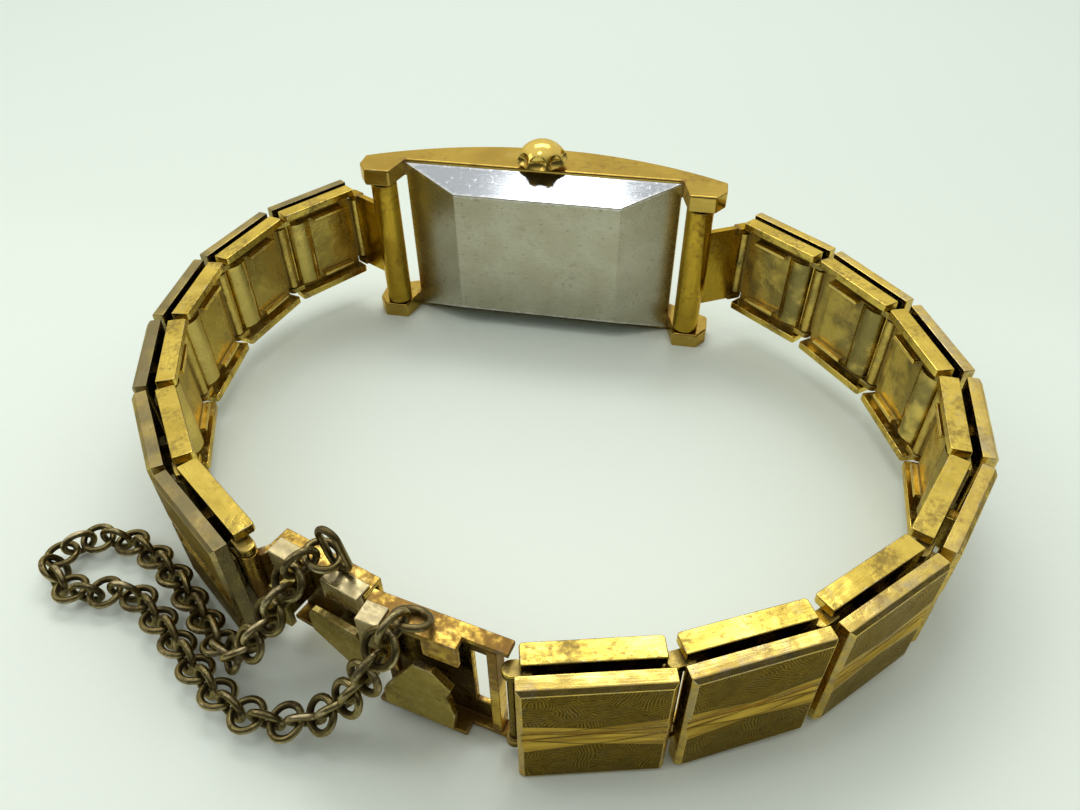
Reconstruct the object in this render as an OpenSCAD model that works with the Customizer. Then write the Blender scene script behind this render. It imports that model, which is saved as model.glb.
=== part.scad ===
// Rectangular hand-wound wristwatch on a folded-sheet link bracelet with a ladder clasp
// and a safety chain. It stands on the long side of its case, crown up, with the bracelet
// closed: X runs along the case, +Y is the dial side, -Y is the clasp side, +Z the crown.
// The origin is on the resting side of the case, in the plane of the dial.

/* [Case] */
// Length of the case over the lug tips
case_len = 28.4; // [27.4:0.2:31]
// Width of the case from side to side, without the crown
case_w = 13.8; // [13:0.2:15.6]
// Length of the closed part of the case, between the strap windows
body_len = 21.8; // [21:0.2:22.4]
// Height of the curved front above the dial at the middle
front_rise = 2.3; // [2.1:0.1:2.8]
// How far the curved front has dropped below the dial at the lug tips
tip_drop = 1.2; // [0.9:0.1:1.6]
// Depth of the case band behind the dial
band_depth = 1.8; // [1.7:0.1:2.1]
// Thickness of the long walls
side_wall = 1.2; // [1:0.1:1.3]
// Thickness of the end walls
end_wall = 1; // [0.8:0.1:1.2]
// Bevel on the long edges of the front
front_bevel = 0.35; // [0.1:0.05:0.5]
// Thickness of each lug
lug_t = 1.35; // [1.2:0.05:1.5]

/* [Case back] */
// How far the flat of the back lies behind the dial
back_depth = 3.9; // [3.8:0.1:4.3]
// Length of the flat of the back
back_flat_len = 13; // [12:0.5:15]
// Width of the facets along the long edges of the back
back_facet = 1.4; // [1.1:0.1:1.6]
// Thickness of the back
back_t = 0.45; // [0.35:0.05:0.5]
// Height of the lip that snaps into the case
back_lip = 0.3; // [0.25:0.05:0.35]

/* [Crystal and dial] */
// Width of the bezel along the long sides
bezel_w = 1.9; // [1.7:0.1:2.2]
// Width of the bezel at the ends
bezel_end = 2.1; // [1.9:0.1:2.6]
// Width of the ledge under the crystal
ledge_w = 0.5; // [0.3:0.05:0.6]
// Thickness of the ledge under the crystal
ledge_t = 0.4; // [0.3:0.05:0.5]
// How far the crystal stands above the bezel
crystal_rise = 0.25; // [0.1:0.05:0.4]
// Thickness of the crystal
crystal_t = 0.6; // [0.4:0.05:0.7]
// Thickness of the dial
dial_t = 0.3; // [0.2:0.05:0.4]
// Length of an hour baton
baton_len = 0.9; // [0.5:0.1:1.2]
// Length of the minute hand
minute_len = 4.2; // [3.4:0.1:4.3]
// Length of the hour hand
hour_len = 2.8; // [2:0.1:3.2]
// Thickness of the hands
hand_t = 0.15; // [0.1:0.05:0.2]

/* [Crown] */
// Diameter of the crown
crown_d = 4; // [3.4:0.1:4.4]
// Height of the crown
crown_h = 1.9; // [1.6:0.1:2.3]
// Number of scallops round the crown
crown_scallops = 8; // [6:1:12]
// Diameter of the winding stem
stem_d = 0.64; // [0.5:0.02:0.8]
// Travel of the crown when it is pulled to set the hands
crown_pull = 0.8; // [0.5:0.1:1]
// Depth of the winding stem's axis behind the dial
stem_depth = 1.1; // [1:0.05:1.2]

/* [Bracelet ends] */
// Distance of the spring bars from the middle of the case
spring_bar_x = 12.4; // [12.2:0.1:12.7]
// Depth of the spring bars behind the dial
spring_bar_depth = 3; // [2.8:0.1:3.1]
// Diameter of the spring bars
spring_bar_d = 1.1; // [0.9:0.05:1.2]
// Diameter of the spring bars' tips
spring_tip_d = 0.8; // [0.6:0.05:0.8]
// Depth of the tips' holes in the lugs
spring_hole = 0.7; // [0.5:0.05:0.9]
// Outer diameter of the tube that turns on a spring bar
tube_d = 1.6; // [1.5:0.05:1.7]
// Distance from a spring bar to the first link's pin
end_reach = 4.2; // [3.9:0.1:4.8]
// Thickness of the tongue between the tube and the first link
tongue_t = 0.5; // [0.4:0.05:0.6]

/* [Links] */
// Distance from pin to pin
link_pitch = 7.1; // [6.9:0.1:7.3]
// Width of the bracelet
link_w = 7.8; // [7.4:0.1:8.6]
// Thickness of the folded sheet
sheet = 0.3; // [0.25:0.05:0.35]
// Thickness of a link's side rails
rail_t = 0.55; // [0.45:0.05:0.65]
// Depth of the side rails inside the line of pins
rail_in = 0.85; // [0.75:0.05:0.9]
// Gap between a rail's end and the plane of the pin
rail_end = 0.35; // [0.33:0.01:0.45]
// Gap between the rails and the outer cap
layer_gap = 0.45; // [0.4:0.05:0.6]
// Height of the outer cap
cap_h = 0.9; // [0.8:0.05:1.1]
// Gap between a cap's end and the plane of the pin
cap_end = 0.1; // [0.08:0.01:0.2]
// Bevel along the cap's outer edges
cap_bevel = 0.22; // [0.1:0.02:0.3]
// Width of one of the two crossing grooves on a cap
groove_w = 1.1; // [0.8:0.1:1.4]
// Depth of the grooves
groove_deep = 0.1; // [0.05:0.01:0.14]
// Angle of each groove to the length of the link
groove_angle = 5; // [2:0.5:7]
// Diameter of the pins
pin_d = 0.5; // [0.4:0.02:0.52]
// Outer diameter of the rolled knuckles
knuckle_d = 0.9; // [0.86:0.02:0.96]
// Thickness of the ears that hold a pin
ear_t = 0.45; // [0.35:0.05:0.5]

/* [Clasp] */
// Width of the hook half, narrower than the bracelet
hook_w = 6.4; // [6.1:0.1:6.6]
// Distance from the hook half's pin to the knee where the two halves meet
hook_len = 7.5; // [7:0.1:8]
// Angle of the hook half to a straight line across the clasp
hook_tilt = 4; // [2:0.5:6]
// How far the hook half's channel lies inside the line of its pin
hook_inset = 0.75; // [0.6:0.05:0.8]
// Depth of the hook half's channel
hook_depth = 1.15; // [1:0.05:1.2]
// Depth of the ladder half's channel
ladder_depth = 1.45; // [1.3:0.05:1.6]
// Thickness of the nickel plates
plate_t = 0.4; // [0.3:0.05:0.45]
// Length of the window in the ladder half
window_len = 1; // [0.8:0.05:1.2]
// Height of the window in the ladder half
window_h = 4.4; // [3.8:0.1:5]

/* [Safety chain] */
// Outer diameter of a chain ring
ring_d = 2; // [1.9:0.05:2.1]
// Diameter of the chain's wire
wire_d = 0.36; // [0.3:0.02:0.38]
// Distance between neighbouring ring centres
ring_step = 1.08; // [1.07:0.01:1.1]
// Length of the long ring that ties the chain to the hook half
ear_len = 2.9; // [2.6:0.1:3.2]

/* [Movement] */
// Thickness of the main plate
main_plate_t = 1.7; // [1.6:0.05:1.75]
// Diameter of the mainspring barrel
barrel_d = 4.6; // [4:0.1:4.8]
// Diameter of the centre wheel
centre_wheel_d = 2.9; // [2.4:0.1:3]
// Diameter of the balance wheel
balance_d = 4.2; // [3.6:0.1:4.4]

/* [Hidden] */
$fn = 48;
// Gap round a turning pin, bar or arbor
run_gap = 0.03;
// Gap beside a piece that turns or slides past another
side_gap = 0.1;
// Gap between two pieces that are pushed together by hand
seat_gap = 0.02;
// Overshoot of a cutting shape past the face it cuts
cut = 0.5;
mid_z = case_w / 2;
tip_x = case_len / 2;
body_x = body_len / 2;
// Radius and centre of the arc that the front of the case follows
front_sag = front_rise + tip_drop;
front_r = (tip_x * tip_x + front_sag * front_sag) / (2 * front_sag);
front_y = front_rise - front_r;
seam_y = -band_depth;
cavity_x = body_x - end_wall;
cavity_z = mid_z - side_wall;
glass_x = body_x - bezel_end;
glass_z = mid_z - bezel_w;
ledge_x = glass_x - ledge_w;
ledge_z = glass_z - ledge_w;
plate_x = cavity_x - 1.15;
plate_z = cavity_z - 0.7;
back_inner_y = -back_depth + back_t;
bar_y = -spring_bar_depth;
stem_y = -stem_depth;
arbor_d = 0.6;
pipe_gap = 0.05;
hour_y = 0.15;
minute_y = 0.55;
bridge_t = 0.2;
bridge_y = back_inner_y + 0.1;
plate_back_y = -dial_t - main_plate_t;
// Places of the wheels on the main plate, along the case and across it
barrel_at = [-3.8, mid_z];
balance_at = [4, mid_z - 1.7];

// Turns of the bracelet from piece to piece, in degrees, starting at the tongue
right_lift = 28;
right_turns = [-68, -12, -20, -22, -22, -20, -17, -13];
left_lift = 152;
left_turns = [83, 22, 19, 17, 15, 16];
right_start = [spring_bar_x, bar_y];
left_start = [-spring_bar_x, bar_y];
function total(list, n) = n <= 0 ? 0 : list[n - 1] + total(list, n - 1);
function dir(angle) = [cos(angle), sin(angle)];
function pin_at(start, lift, turns, n) =
    n == 0 ? start + end_reach * dir(lift)
    : pin_at(start, lift, turns, n - 1) + link_pitch * dir(lift + total(turns, n));
right_count = len(right_turns);
left_count = len(left_turns);
function right_pin(n) = pin_at(right_start, right_lift, right_turns, n);
function left_pin(n) = pin_at(left_start, left_lift, left_turns, n);
function right_angle(n) = right_lift + total(right_turns, n);
function left_angle(n) = left_lift + total(left_turns, n);
rail_top = sheet;
cap_low = rail_top + layer_gap;
cap_top = cap_low + cap_h;
web_end = knuckle_d / 2 + side_gap;
rail_z = link_w / 2 - rail_t;
ear_z = rail_z - side_gap;
knuckle_z = ear_z - ear_t - side_gap;
// The clasp runs straight from the last pin on the left to the last pin on the right
clasp_start = left_pin(left_count);
clasp_end = right_pin(right_count);
clasp_run = clasp_end - clasp_start;
clasp_angle = atan2(clasp_run[1], clasp_run[0]);
knee = clasp_start + hook_len * dir(clasp_angle - hook_tilt);
ladder_run = clasp_end - knee;
ladder_len = norm(ladder_run);
ladder_angle = atan2(ladder_run[1], ladder_run[0]);
hook_web = -hook_inset - hook_depth;
hook_front = hook_web + hook_depth + 0.1;
// Plane on which the nickel plates of the hook half lie, in line with the ladder half
hook_face = 0.1;
ladder_web = -ladder_depth + 0.5;
ladder_front = ladder_web + ladder_depth;
tongue_y = ladder_web + sheet + side_gap;
// The closed loop is left open here, between the ladder and the last pin on the right
open_gap = 0.35;
ladder_to = ladder_len - knuckle_d / 2 - open_gap;
window_to = ladder_to - 0.5;
window_from = window_to - window_len;

// The safety chain's route: out of the ear on the hook, over the clasp, down to the table
// on the left, round its far end and back to the ear on the ladder
chain_route = [
    [-3.7, -37.7, 11.1], [-4.5, -38.5, 11.3], [-5.1, -39.2, 10.3], [-5.8, -39.9, 9],
    [-6.6, -40.4, 7.7], [-7.6, -40.7, 6.4], [-8.8, -40.3, 5.2], [-10.1, -39.4, 4.4],
    [-11.8, -38, 3.9], [-13.5, -36.7, 3.7], [-15.2, -35.4, 3.6], [-16.9, -34.4, 3.5],
    [-18.4, -33.7, 3.4], [-20.1, -33.4, 3.4], [-21.8, -33.9, 3.5], [-22.6, -35.2, 3.5],
    [-21.9, -36.7, 3.6], [-20.1, -37.4, 3.6], [-18.4, -37.2, 3.7], [-16.9, -37, 3.7],
    [-15.2, -37.9, 3.7], [-13.4, -39, 3.8], [-11.6, -40.3, 3.9], [-9.6, -41.6, 4.1],
    [-7.6, -42.6, 4.2], [-5.6, -42.9, 4.4], [-3.8, -42.8, 4.9], [-2.3, -42.6, 6],
    [-1.2, -42.4, 7.4], [-0.4, -42.3, 8.8], [0.2, -42.2, 10.3], [1, -41.2, 11.7]
];
// Direction from which each ring's tilt is measured, and that tilt, to either side in turn
chain_ref = [0.5, -0.65, 0.57];
chain_tilt = 45;

// A smooth line through the route's points, the distance along it, and a point on it
route_end = len(chain_route) - 1;
function smooth(a, b, c, d, t) =
    (2 * b + (c - a) * t + (2 * a - 5 * b + 4 * c - d) * t * t + (3 * b - a - 3 * c + d) * t * t * t) / 2;
chain_path = concat(
    [for (i = [0:route_end - 1]) for (t = [0:0.2:0.9])
        smooth(chain_route[max(i - 1, 0)], chain_route[i], chain_route[i + 1],
               chain_route[min(i + 2, route_end)], t)],
    [chain_route[route_end]]
);
path_end = len(chain_path) - 1;
chain_run = [for (i = 0, s = 0; i <= path_end;
                  s = s + (i < path_end ? norm(chain_path[i + 1] - chain_path[i]) : 0), i = i + 1) s];
function chain_piece(s) = max([for (i = [0:path_end - 1]) if (chain_run[i] <= s) i]);
function chain_at(s) =
    let (i = chain_piece(s), from = chain_path[i], to = chain_path[i + 1])
    from + (to - from) * (s - chain_run[i]) / (chain_run[i + 1] - chain_run[i]);

// A disc under the curved front, with its two rims bevelled
module front_disc(r, low, high, bevel) {
    translate([0, front_y, 0])
        rotate_extrude($fn = 96)
            polygon([[0, low], [r - bevel, low], [r, low + bevel], [r, high - bevel],
                     [r - bevel, high], [0, high]]);
}

// A box given by its lowest and highest corners
module box(low, high) {
    translate(low)
        cube(high - low);
}

// A round bar along Z or Y between two heights
module bar_z(at, d, low, high) {
    translate([at[0], at[1], low])
        cylinder(d = d, h = high - low);
}

module bar_y(at, d, low, high) {
    translate([at[0], high, at[1]])
        rotate([90, 0, 0])
            cylinder(d = d, h = high - low);
}

// A block whose four sides slope in towards the back, like a hipped roof
module hip(base_x, base_z, flat_x, flat_z, base_y, flat_y) {
    intersection() {
        translate([0, 0, mid_z - base_z])
            linear_extrude(2 * base_z)
                polygon([[-base_x, base_y], [base_x, base_y], [flat_x, flat_y], [-flat_x, flat_y]]);
        translate([-base_x, 0, mid_z])
            rotate([90, 0, 90])
                linear_extrude(2 * base_x)
                    polygon([[base_y, -base_z], [base_y, base_z], [flat_y, flat_z], [flat_y, -flat_z]]);
    }
}

// The case, cut from one outline seen from the crown: the curved front, the body and the
// lugs, which are left standing on both sides of the strap windows
module case_frame() {
    lug_r = tip_x - spring_bar_x;
    foot = bar_y - lug_r * 0.6;
    color("goldenrod")
        difference() {
            intersection() {
                front_disc(front_r, 0, case_w, front_bevel);
                linear_extrude(case_w)
                    polygon([[-tip_x, front_rise], [-tip_x, bar_y], [-tip_x + lug_r * 0.4, foot],
                             [-spring_bar_x + lug_r * 0.5, foot], [-body_x - 0.1, seam_y - 0.3], [-body_x, seam_y],
                             [body_x, seam_y], [body_x + 0.1, seam_y - 0.3], [spring_bar_x - lug_r * 0.5, foot],
                             [tip_x - lug_r * 0.4, foot], [tip_x, bar_y], [tip_x, front_rise]]);
            }
            for (side = [-1, 1]) {
                translate([side * (body_x + tip_x / 2), 0, mid_z])
                    cube([tip_x, tip_x, case_w - 2 * lug_t], center = true);
                bar_z([side * spring_bar_x, bar_y], spring_tip_d + 2 * seat_gap,
                      lug_t - spring_hole, case_w - lug_t + spring_hole);
            }
            box([-cavity_x, seam_y - cut, mid_z - cavity_z], [cavity_x, 0, mid_z + cavity_z]);
            box([-ledge_x, -cut, mid_z - ledge_z], [ledge_x, ledge_t + cut, mid_z + ledge_z]);
            box([-glass_x, ledge_t, mid_z - glass_z], [glass_x, front_rise + cut, mid_z + glass_z]);
            bar_z([0, stem_y], stem_d + 2 * side_gap, mid_z, case_w + cut);
        }
}

module case_back() {
    lip_x = cavity_x - seat_gap;
    lip_z = cavity_z - seat_gap;
    color("silver") {
        difference() {
            hip(body_x, mid_z - 0.25, back_flat_len / 2, mid_z - 0.25 - back_facet, seam_y, -back_depth);
            hip(plate_x + 0.55, plate_z + 0.1, back_flat_len / 2 - 0.2, mid_z - 0.45 - back_facet,
                seam_y + 0.001, back_inner_y);
        }
        difference() {
            box([-lip_x, seam_y, mid_z - lip_z], [lip_x, seam_y + back_lip, mid_z + lip_z]);
            box([-plate_x - 0.55, seam_y - cut, mid_z - plate_z - 0.1],
                [plate_x + 0.55, seam_y + back_lip + cut, mid_z + plate_z + 0.1]);
        }
    }
}

module crystal() {
    color("lightcyan", 0.35)
        difference() {
            intersection() {
                front_disc(front_r + crystal_rise, mid_z - glass_z + seat_gap, mid_z + glass_z - seat_gap, 0.3);
                box([-glass_x + seat_gap, ledge_t, 0], [glass_x - seat_gap, front_rise + 1, case_w]);
            }
            intersection() {
                front_disc(front_r + crystal_rise - crystal_t, mid_z - ledge_z, mid_z + ledge_z, 0.1);
                box([-ledge_x, ledge_t - cut, 0], [ledge_x, front_rise + 1, case_w]);
            }
        }
}

module dial() {
    dial_x = cavity_x - 0.3;
    dial_z = cavity_z - 0.3;
    baton_h = 0.06;
    color("ivory") {
        difference() {
            box([-dial_x, -dial_t, mid_z - dial_z], [dial_x, 0, mid_z + dial_z]);
            bar_y([0, mid_z], arbor_d + 2 * pipe_gap, -1, 1);
        }
        for (side = [-1, 1]) {
            for (row = [-1, 0, 1])
                translate([side * (ledge_x - baton_len), baton_h / 2, mid_z + row * ledge_z * 0.6])
                    cube([baton_len, baton_h, 0.25], center = true);
            for (column = [-1, 0, 1])
                translate([column * ledge_x * 0.5, baton_h / 2, mid_z + side * (ledge_z - baton_len * 0.7)])
                    cube([0.25, baton_h, baton_len], center = true);
        }
    }
}

// A leaf-shaped hand lying in the plane of the dial, pointing along +Z
module hand(length, width, bore) {
    difference() {
        union() {
            rotate([90, 0, 0])
                linear_extrude(hand_t)
                    polygon([[-width / 3, -length / 5], [width / 3, -length / 5], [width / 2, length * 0.6],
                             [0, length], [-width / 2, length * 0.6]]);
            bar_y([0, 0], 1.1, -hand_t, 0);
        }
        bar_y([0, 0], bore, -1, 1);
    }
}

module hour_hand() {
    color("gold")
        translate([0, hour_y + hand_t, mid_z])
            rotate([0, 60, 0])
                hand(hour_len, 0.6, arbor_d + 2 * pipe_gap);
}

module minute_hand() {
    color("gold")
        translate([0, minute_y + hand_t, mid_z])
            rotate([0, -30, 0])
                hand(minute_len, 0.45, 0.1);
}

module crown() {
    dome_r = crown_d / 2 + 0.1;
    color("gold")
        translate([0, stem_y, case_w + 0.1]) {
            difference() {
                intersection() {
                    translate([0, 0, 0.3])
                        cylinder(d = crown_d, h = crown_h);
                    translate([0, 0, crown_h - dome_r])
                        sphere(dome_r);
                }
                for (n = [0:crown_scallops - 1])
                    rotate([0, 0, n * 360 / crown_scallops])
                        translate([crown_d / 2 + 0.55, 0, crown_h * 0.45])
                            sphere(1);
            }
            cylinder(d = crown_d * 0.55, h = 0.5);
        }
}

module winding_stem() {
    groove_low = mid_z + 3.4;
    color("silver")
        difference() {
            bar_z([0, stem_y], stem_d, mid_z + 2.2, case_w + 0.1);
            difference() {
                bar_z([0, stem_y], stem_d + 1, groove_low, groove_low + 0.5);
                bar_z([0, stem_y], stem_d - 0.2, groove_low - cut, groove_low + 0.5 + cut);
            }
        }
}

module setting_lever() {
    low = mid_z + 3.4 + 0.05;
    color("silver")
        difference() {
            box([-1, plate_back_y + 0.1, low], [1, stem_y + 0.15, low + 0.4]);
            box([-stem_d / 2 + 0.08, stem_y - 0.35, low - cut],
                [stem_d / 2 - 0.08, stem_y + 0.15 + cut, low + 0.4 + cut]);
        }
}

module spring_bar(side) {
    at = [side * spring_bar_x, bar_y];
    color("silver") {
        bar_z(at, spring_bar_d, lug_t + seat_gap, case_w - lug_t - seat_gap);
        bar_z(at, spring_tip_d, lug_t - spring_hole + seat_gap, case_w - lug_t + spring_hole - seat_gap);
    }
}

module main_plate() {
    color("khaki")
        difference() {
            box([-plate_x, plate_back_y, mid_z - plate_z], [plate_x, -dial_t, mid_z + plate_z]);
            bar_y([0, mid_z], arbor_d + 2 * pipe_gap, -5, 1);
            bar_z([0, stem_y], stem_d + 2 * side_gap, mid_z + 2, case_w);
            box([-1.2, plate_back_y - cut, mid_z + 3.2], [1.2, stem_y + 0.3, mid_z + plate_z + cut]);
            bar_y(balance_at, 0.3, plate_back_y - cut, plate_back_y + 0.6);
        }
}

module train_bridge() {
    color("khaki") {
        difference() {
            box([-6, bridge_y, mid_z - 4.2], [1.6, bridge_y + bridge_t, mid_z + 4.2]);
            bar_y(barrel_at, 1.2, bridge_y - cut, bridge_y + 1);
        }
        for (at = [[-5.4, mid_z - 3.6], [-5.4, mid_z + 3.6], [1, mid_z - 3.6]])
            bar_y(at, 0.9, bridge_y + bridge_t, plate_back_y);
    }
}

module mainspring_barrel() {
    color("goldenrod") {
        bar_y(barrel_at, barrel_d, bridge_y + bridge_t + side_gap, plate_back_y - side_gap);
        bar_y(barrel_at, 1, bridge_y, bridge_y + bridge_t + 2 * side_gap);
    }
}

module centre_wheel() {
    wheel_y = plate_back_y - 0.6;
    color("gold") {
        bar_y([0, mid_z], arbor_d, bridge_y + bridge_t + 0.02, minute_y);
        difference() {
            bar_y([0, mid_z], centre_wheel_d, wheel_y, wheel_y + 0.15);
            for (n = [0:4])
                translate([0, 0, mid_z])
                    rotate([0, n * 72, 0])
                        bar_y([centre_wheel_d * 0.29, 0], centre_wheel_d * 0.22, wheel_y - 1, wheel_y + 1);
        }
    }
}

module balance_wheel() {
    low = bridge_y + bridge_t + side_gap;
    rim = 0.35;
    color("gold") {
        difference() {
            bar_y(balance_at, balance_d, low, low + rim);
            bar_y(balance_at, balance_d - 0.8, low - 1, low + 1);
        }
        translate([balance_at[0], low + rim / 2, balance_at[1]])
            cube([balance_d - 0.5, 0.15, 0.35], center = true);
        bar_y(balance_at, 0.24, low - side_gap + 0.02, plate_back_y + 0.5);
    }
}

module balance_cock() {
    foot = [balance_at[0], balance_at[1] + balance_d / 2 + 1];
    color("khaki") {
        bar_y(balance_at, 1.4, bridge_y, bridge_y + bridge_t);
        box([balance_at[0] - 0.6, bridge_y, balance_at[1]], [balance_at[0] + 0.6, bridge_y + bridge_t, foot[1]]);
        bar_y(foot, 1.2, bridge_y, plate_back_y);
    }
}

// Two ears and the pin between them, at the far end of a piece that carries the next one
module ears_and_pin(reach) {
    for (side = [-1, 1])
        translate([0, 0, side > 0 ? ear_z - ear_t : -ear_z]) {
            translate([reach, 0, 0])
                cylinder(d = knuckle_d, h = ear_t);
            translate([reach - web_end - 0.3, -knuckle_d / 2, 0])
                cube([web_end + 0.3, knuckle_d, ear_t]);
        }
    translate([reach, 0, -ear_z])
        cylinder(d = pin_d, h = 2 * ear_z);
}

module end_piece(side) {
    at = side > 0 ? right_start : left_start;
    lift = side > 0 ? right_lift : left_lift;
    tube_low = lug_t + side_gap;
    color("darkgoldenrod")
        difference() {
            union() {
                bar_z(at, tube_d, tube_low, case_w - tube_low);
                translate([at[0], at[1], mid_z])
                    rotate([0, 0, lift]) {
                        translate([0, -tongue_t / 2, -ear_z])
                            cube([end_reach - web_end, tongue_t, 2 * ear_z]);
                        ears_and_pin(end_reach);
                    }
            }
            bar_z(at, spring_bar_d + 2 * run_gap, tube_low - cut, case_w - tube_low + cut);
        }
}

// Places a link's own frame: X along the link from its pin, Y outwards, Z across the band
module on_right(n) {
    translate([right_pin(n - 1)[0], right_pin(n - 1)[1], mid_z])
        rotate([0, 0, right_angle(n)])
            children();
}

module on_left(n) {
    translate([left_pin(n - 1)[0], left_pin(n - 1)[1], mid_z])
        rotate([0, 0, left_angle(n)])
            rotate([180, 0, 0])
                children();
}

module rail_outline(length) {
    bevel = 0.12;
    polygon([[rail_end, -rail_in + bevel], [rail_end + bevel, -rail_in],
             [length - rail_end - bevel, -rail_in], [length - rail_end, -rail_in + bevel],
             [length - rail_end, rail_top], [rail_end, rail_top]]);
}

// The inner half of a link: two rails, the web between them, a rolled knuckle at the near
// end and, at the far end, the ears with the pin for the next link's knuckle
module link_frame() {
    tab_h = 0.45;
    plate_from = 1.5;
    plate_to = link_pitch - 1.6;
    color("darkgoldenrod") {
        difference() {
            union() {
                for (low = [rail_z, -link_w / 2])
                    translate([0, 0, low])
                        linear_extrude(rail_t)
                            rail_outline(link_pitch);
                translate([web_end, 0, -rail_z])
                    cube([link_pitch - 2 * web_end, sheet, 2 * rail_z]);
                translate([0, 0, -knuckle_z])
                    cube([web_end, sheet, 2 * knuckle_z]);
                translate([0, 0, -knuckle_z])
                    cylinder(d = knuckle_d, h = 2 * knuckle_z);
                translate([plate_from, -sheet, -knuckle_z])
                    cube([plate_to - plate_from, sheet, 2 * knuckle_z]);
                for (low = [knuckle_z - sheet, -knuckle_z])
                    translate([plate_from, -sheet - tab_h, low])
                        cube([plate_to - plate_from - 1.2, tab_h, sheet]);
            }
            translate([0, 0, -knuckle_z - cut])
                cylinder(d = pin_d + 2 * run_gap, h = 2 * knuckle_z + 2 * cut);
        }
        ears_and_pin(link_pitch);
    }
}

// The outer half of a link: a shallow folded tray with two crossing grooves on its face
module link_cap() {
    half_w = link_w / 2;
    from = cap_end;
    to = link_pitch - cap_end;
    color("goldenrod")
        difference() {
            intersection() {
                translate([0, 0, -half_w])
                    linear_extrude(link_w)
                        polygon([[from, cap_low], [to, cap_low], [to, cap_top - cap_bevel],
                                 [to - cap_bevel, cap_top], [from + cap_bevel, cap_top],
                                 [from, cap_top - cap_bevel]]);
                rotate([90, 0, 90])
                    linear_extrude(link_pitch)
                        polygon([[cap_low, -half_w], [cap_low, half_w], [cap_top - cap_bevel, half_w],
                                 [cap_top, half_w - cap_bevel], [cap_top, -half_w + cap_bevel],
                                 [cap_top - cap_bevel, -half_w]]);
            }
            box([from + sheet, cap_low - cut, -half_w + sheet], [to - sheet, cap_top - sheet, half_w - sheet]);
            for (side = [-1, 1])
                translate([link_pitch / 2, cap_top, 0])
                    rotate([0, side * groove_angle, 0])
                        rotate([0, 90, 0])
                            linear_extrude(2 * link_pitch, center = true)
                                polygon([[-groove_w / 2, 0.01], [0, -groove_deep], [groove_w / 2, 0.01]]);
        }
    color("goldenrod")
        for (x = [link_pitch * 0.25, link_pitch * 0.75])
            translate([x - 0.4, rail_top, -1.2])
                cube([0.8, cap_top - sheet - rail_top, 2.4]);
}

// Place a half of the clasp in its own frame: X along it to the right, Y outwards, Z up
module on_hook() {
    translate([clasp_start[0], clasp_start[1], mid_z])
        rotate([0, 0, clasp_angle - hook_tilt])
            mirror([0, 1, 0])
                children();
}

module on_ladder() {
    translate([knee[0], knee[1], mid_z])
        rotate([0, 0, ladder_angle])
            mirror([0, 1, 0])
                children();
}

// A channel that is open outwards: a web and two flanges
module channel(from, to, half_w, web, front) {
    box([from, web, -half_w], [to, web + sheet, half_w]);
    for (low = [half_w - sheet, -half_w])
        box([from, web, low], [to, front, low + sheet]);
}

// A flat plate facing outwards, with its outline given in X and Z
module facing(y, t, outline) {
    translate([0, y + t, 0])
        rotate([90, 0, 0])
            linear_extrude(t)
                polygon(outline);
}

// The hook half: a channel that hangs on the last left pin by a bent strip and a rolled
// knuckle, with a tongue that reaches into the ladder half
module clasp_hook() {
    from = 0.95;
    to = hook_len - 0.5;
    neck_z = knuckle_z - 0.4;
    color("goldenrod")
        on_hook() {
            difference() {
                union() {
                    translate([0, 0, -knuckle_z])
                        cylinder(d = knuckle_d, h = 2 * knuckle_z);
                    translate([0, 0, -neck_z])
                        linear_extrude(2 * neck_z)
                            polygon([[-0.2, -knuckle_d / 2 + 0.02], [0.3, -0.1], [from, hook_web + sheet],
                                     [from + 0.5, hook_web + sheet], [from + 0.5, hook_web],
                                     [from - 0.2, hook_web]]);
                }
                translate([0, 0, -knuckle_z - cut])
                    cylinder(d = pin_d + 2 * run_gap, h = 2 * knuckle_z + 2 * cut);
            }
            channel(from, to, hook_w / 2, hook_web, hook_front);
            box([to - 0.6, hook_web + sheet, -1.4], [to, tongue_y, 1.4]);
            box([to - 0.6, tongue_y, -1.4], [hook_len + 1.2, tongue_y + sheet, 1.4]);
        }
}

// The hook half's nickel pieces: two tabs folded over its upper edge, a rounded end plate
// and the plate with clipped corners on its rivet
module clasp_hook_plate() {
    half_w = hook_w / 2;
    tabs = [[1.2, 2.9], [hook_len - 2.9, hook_len - 0.6]];
    y = hook_face;
    left = hook_len - 3.5;
    rivet = [left + 1.2, left + 2.2];
    color("lightgray")
        on_hook() {
            for (tab = tabs) {
                box([tab[0], hook_front, half_w - 1.3], [tab[1], hook_front + plate_t, half_w + sheet / 2]);
                box([tab[0], hook_front - 0.6, half_w], [tab[1], hook_front, half_w + sheet / 2]);
            }
            facing(y, plate_t, [[1.3, -1.6], [2.2, -1.6], [2.2, 1.3], [1.9, 1.6], [1.5, 1.6], [1.3, 1.3]]);
            box([1.4, hook_web + sheet, -1], [2.1, y, 1]);
            facing(y, plate_t, [[left, -0.3], [left + 2.6, -2], [left + 3.5, -2], [left + 4, -1.2],
                                [left + 4, 0.5], [left + 3.1, 1.6], [left + 0.3, 1.6], [left, 1]]);
            box([rivet[0], hook_web + sheet, -0.5], [rivet[1], y, 0.5]);
        }
}

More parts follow.
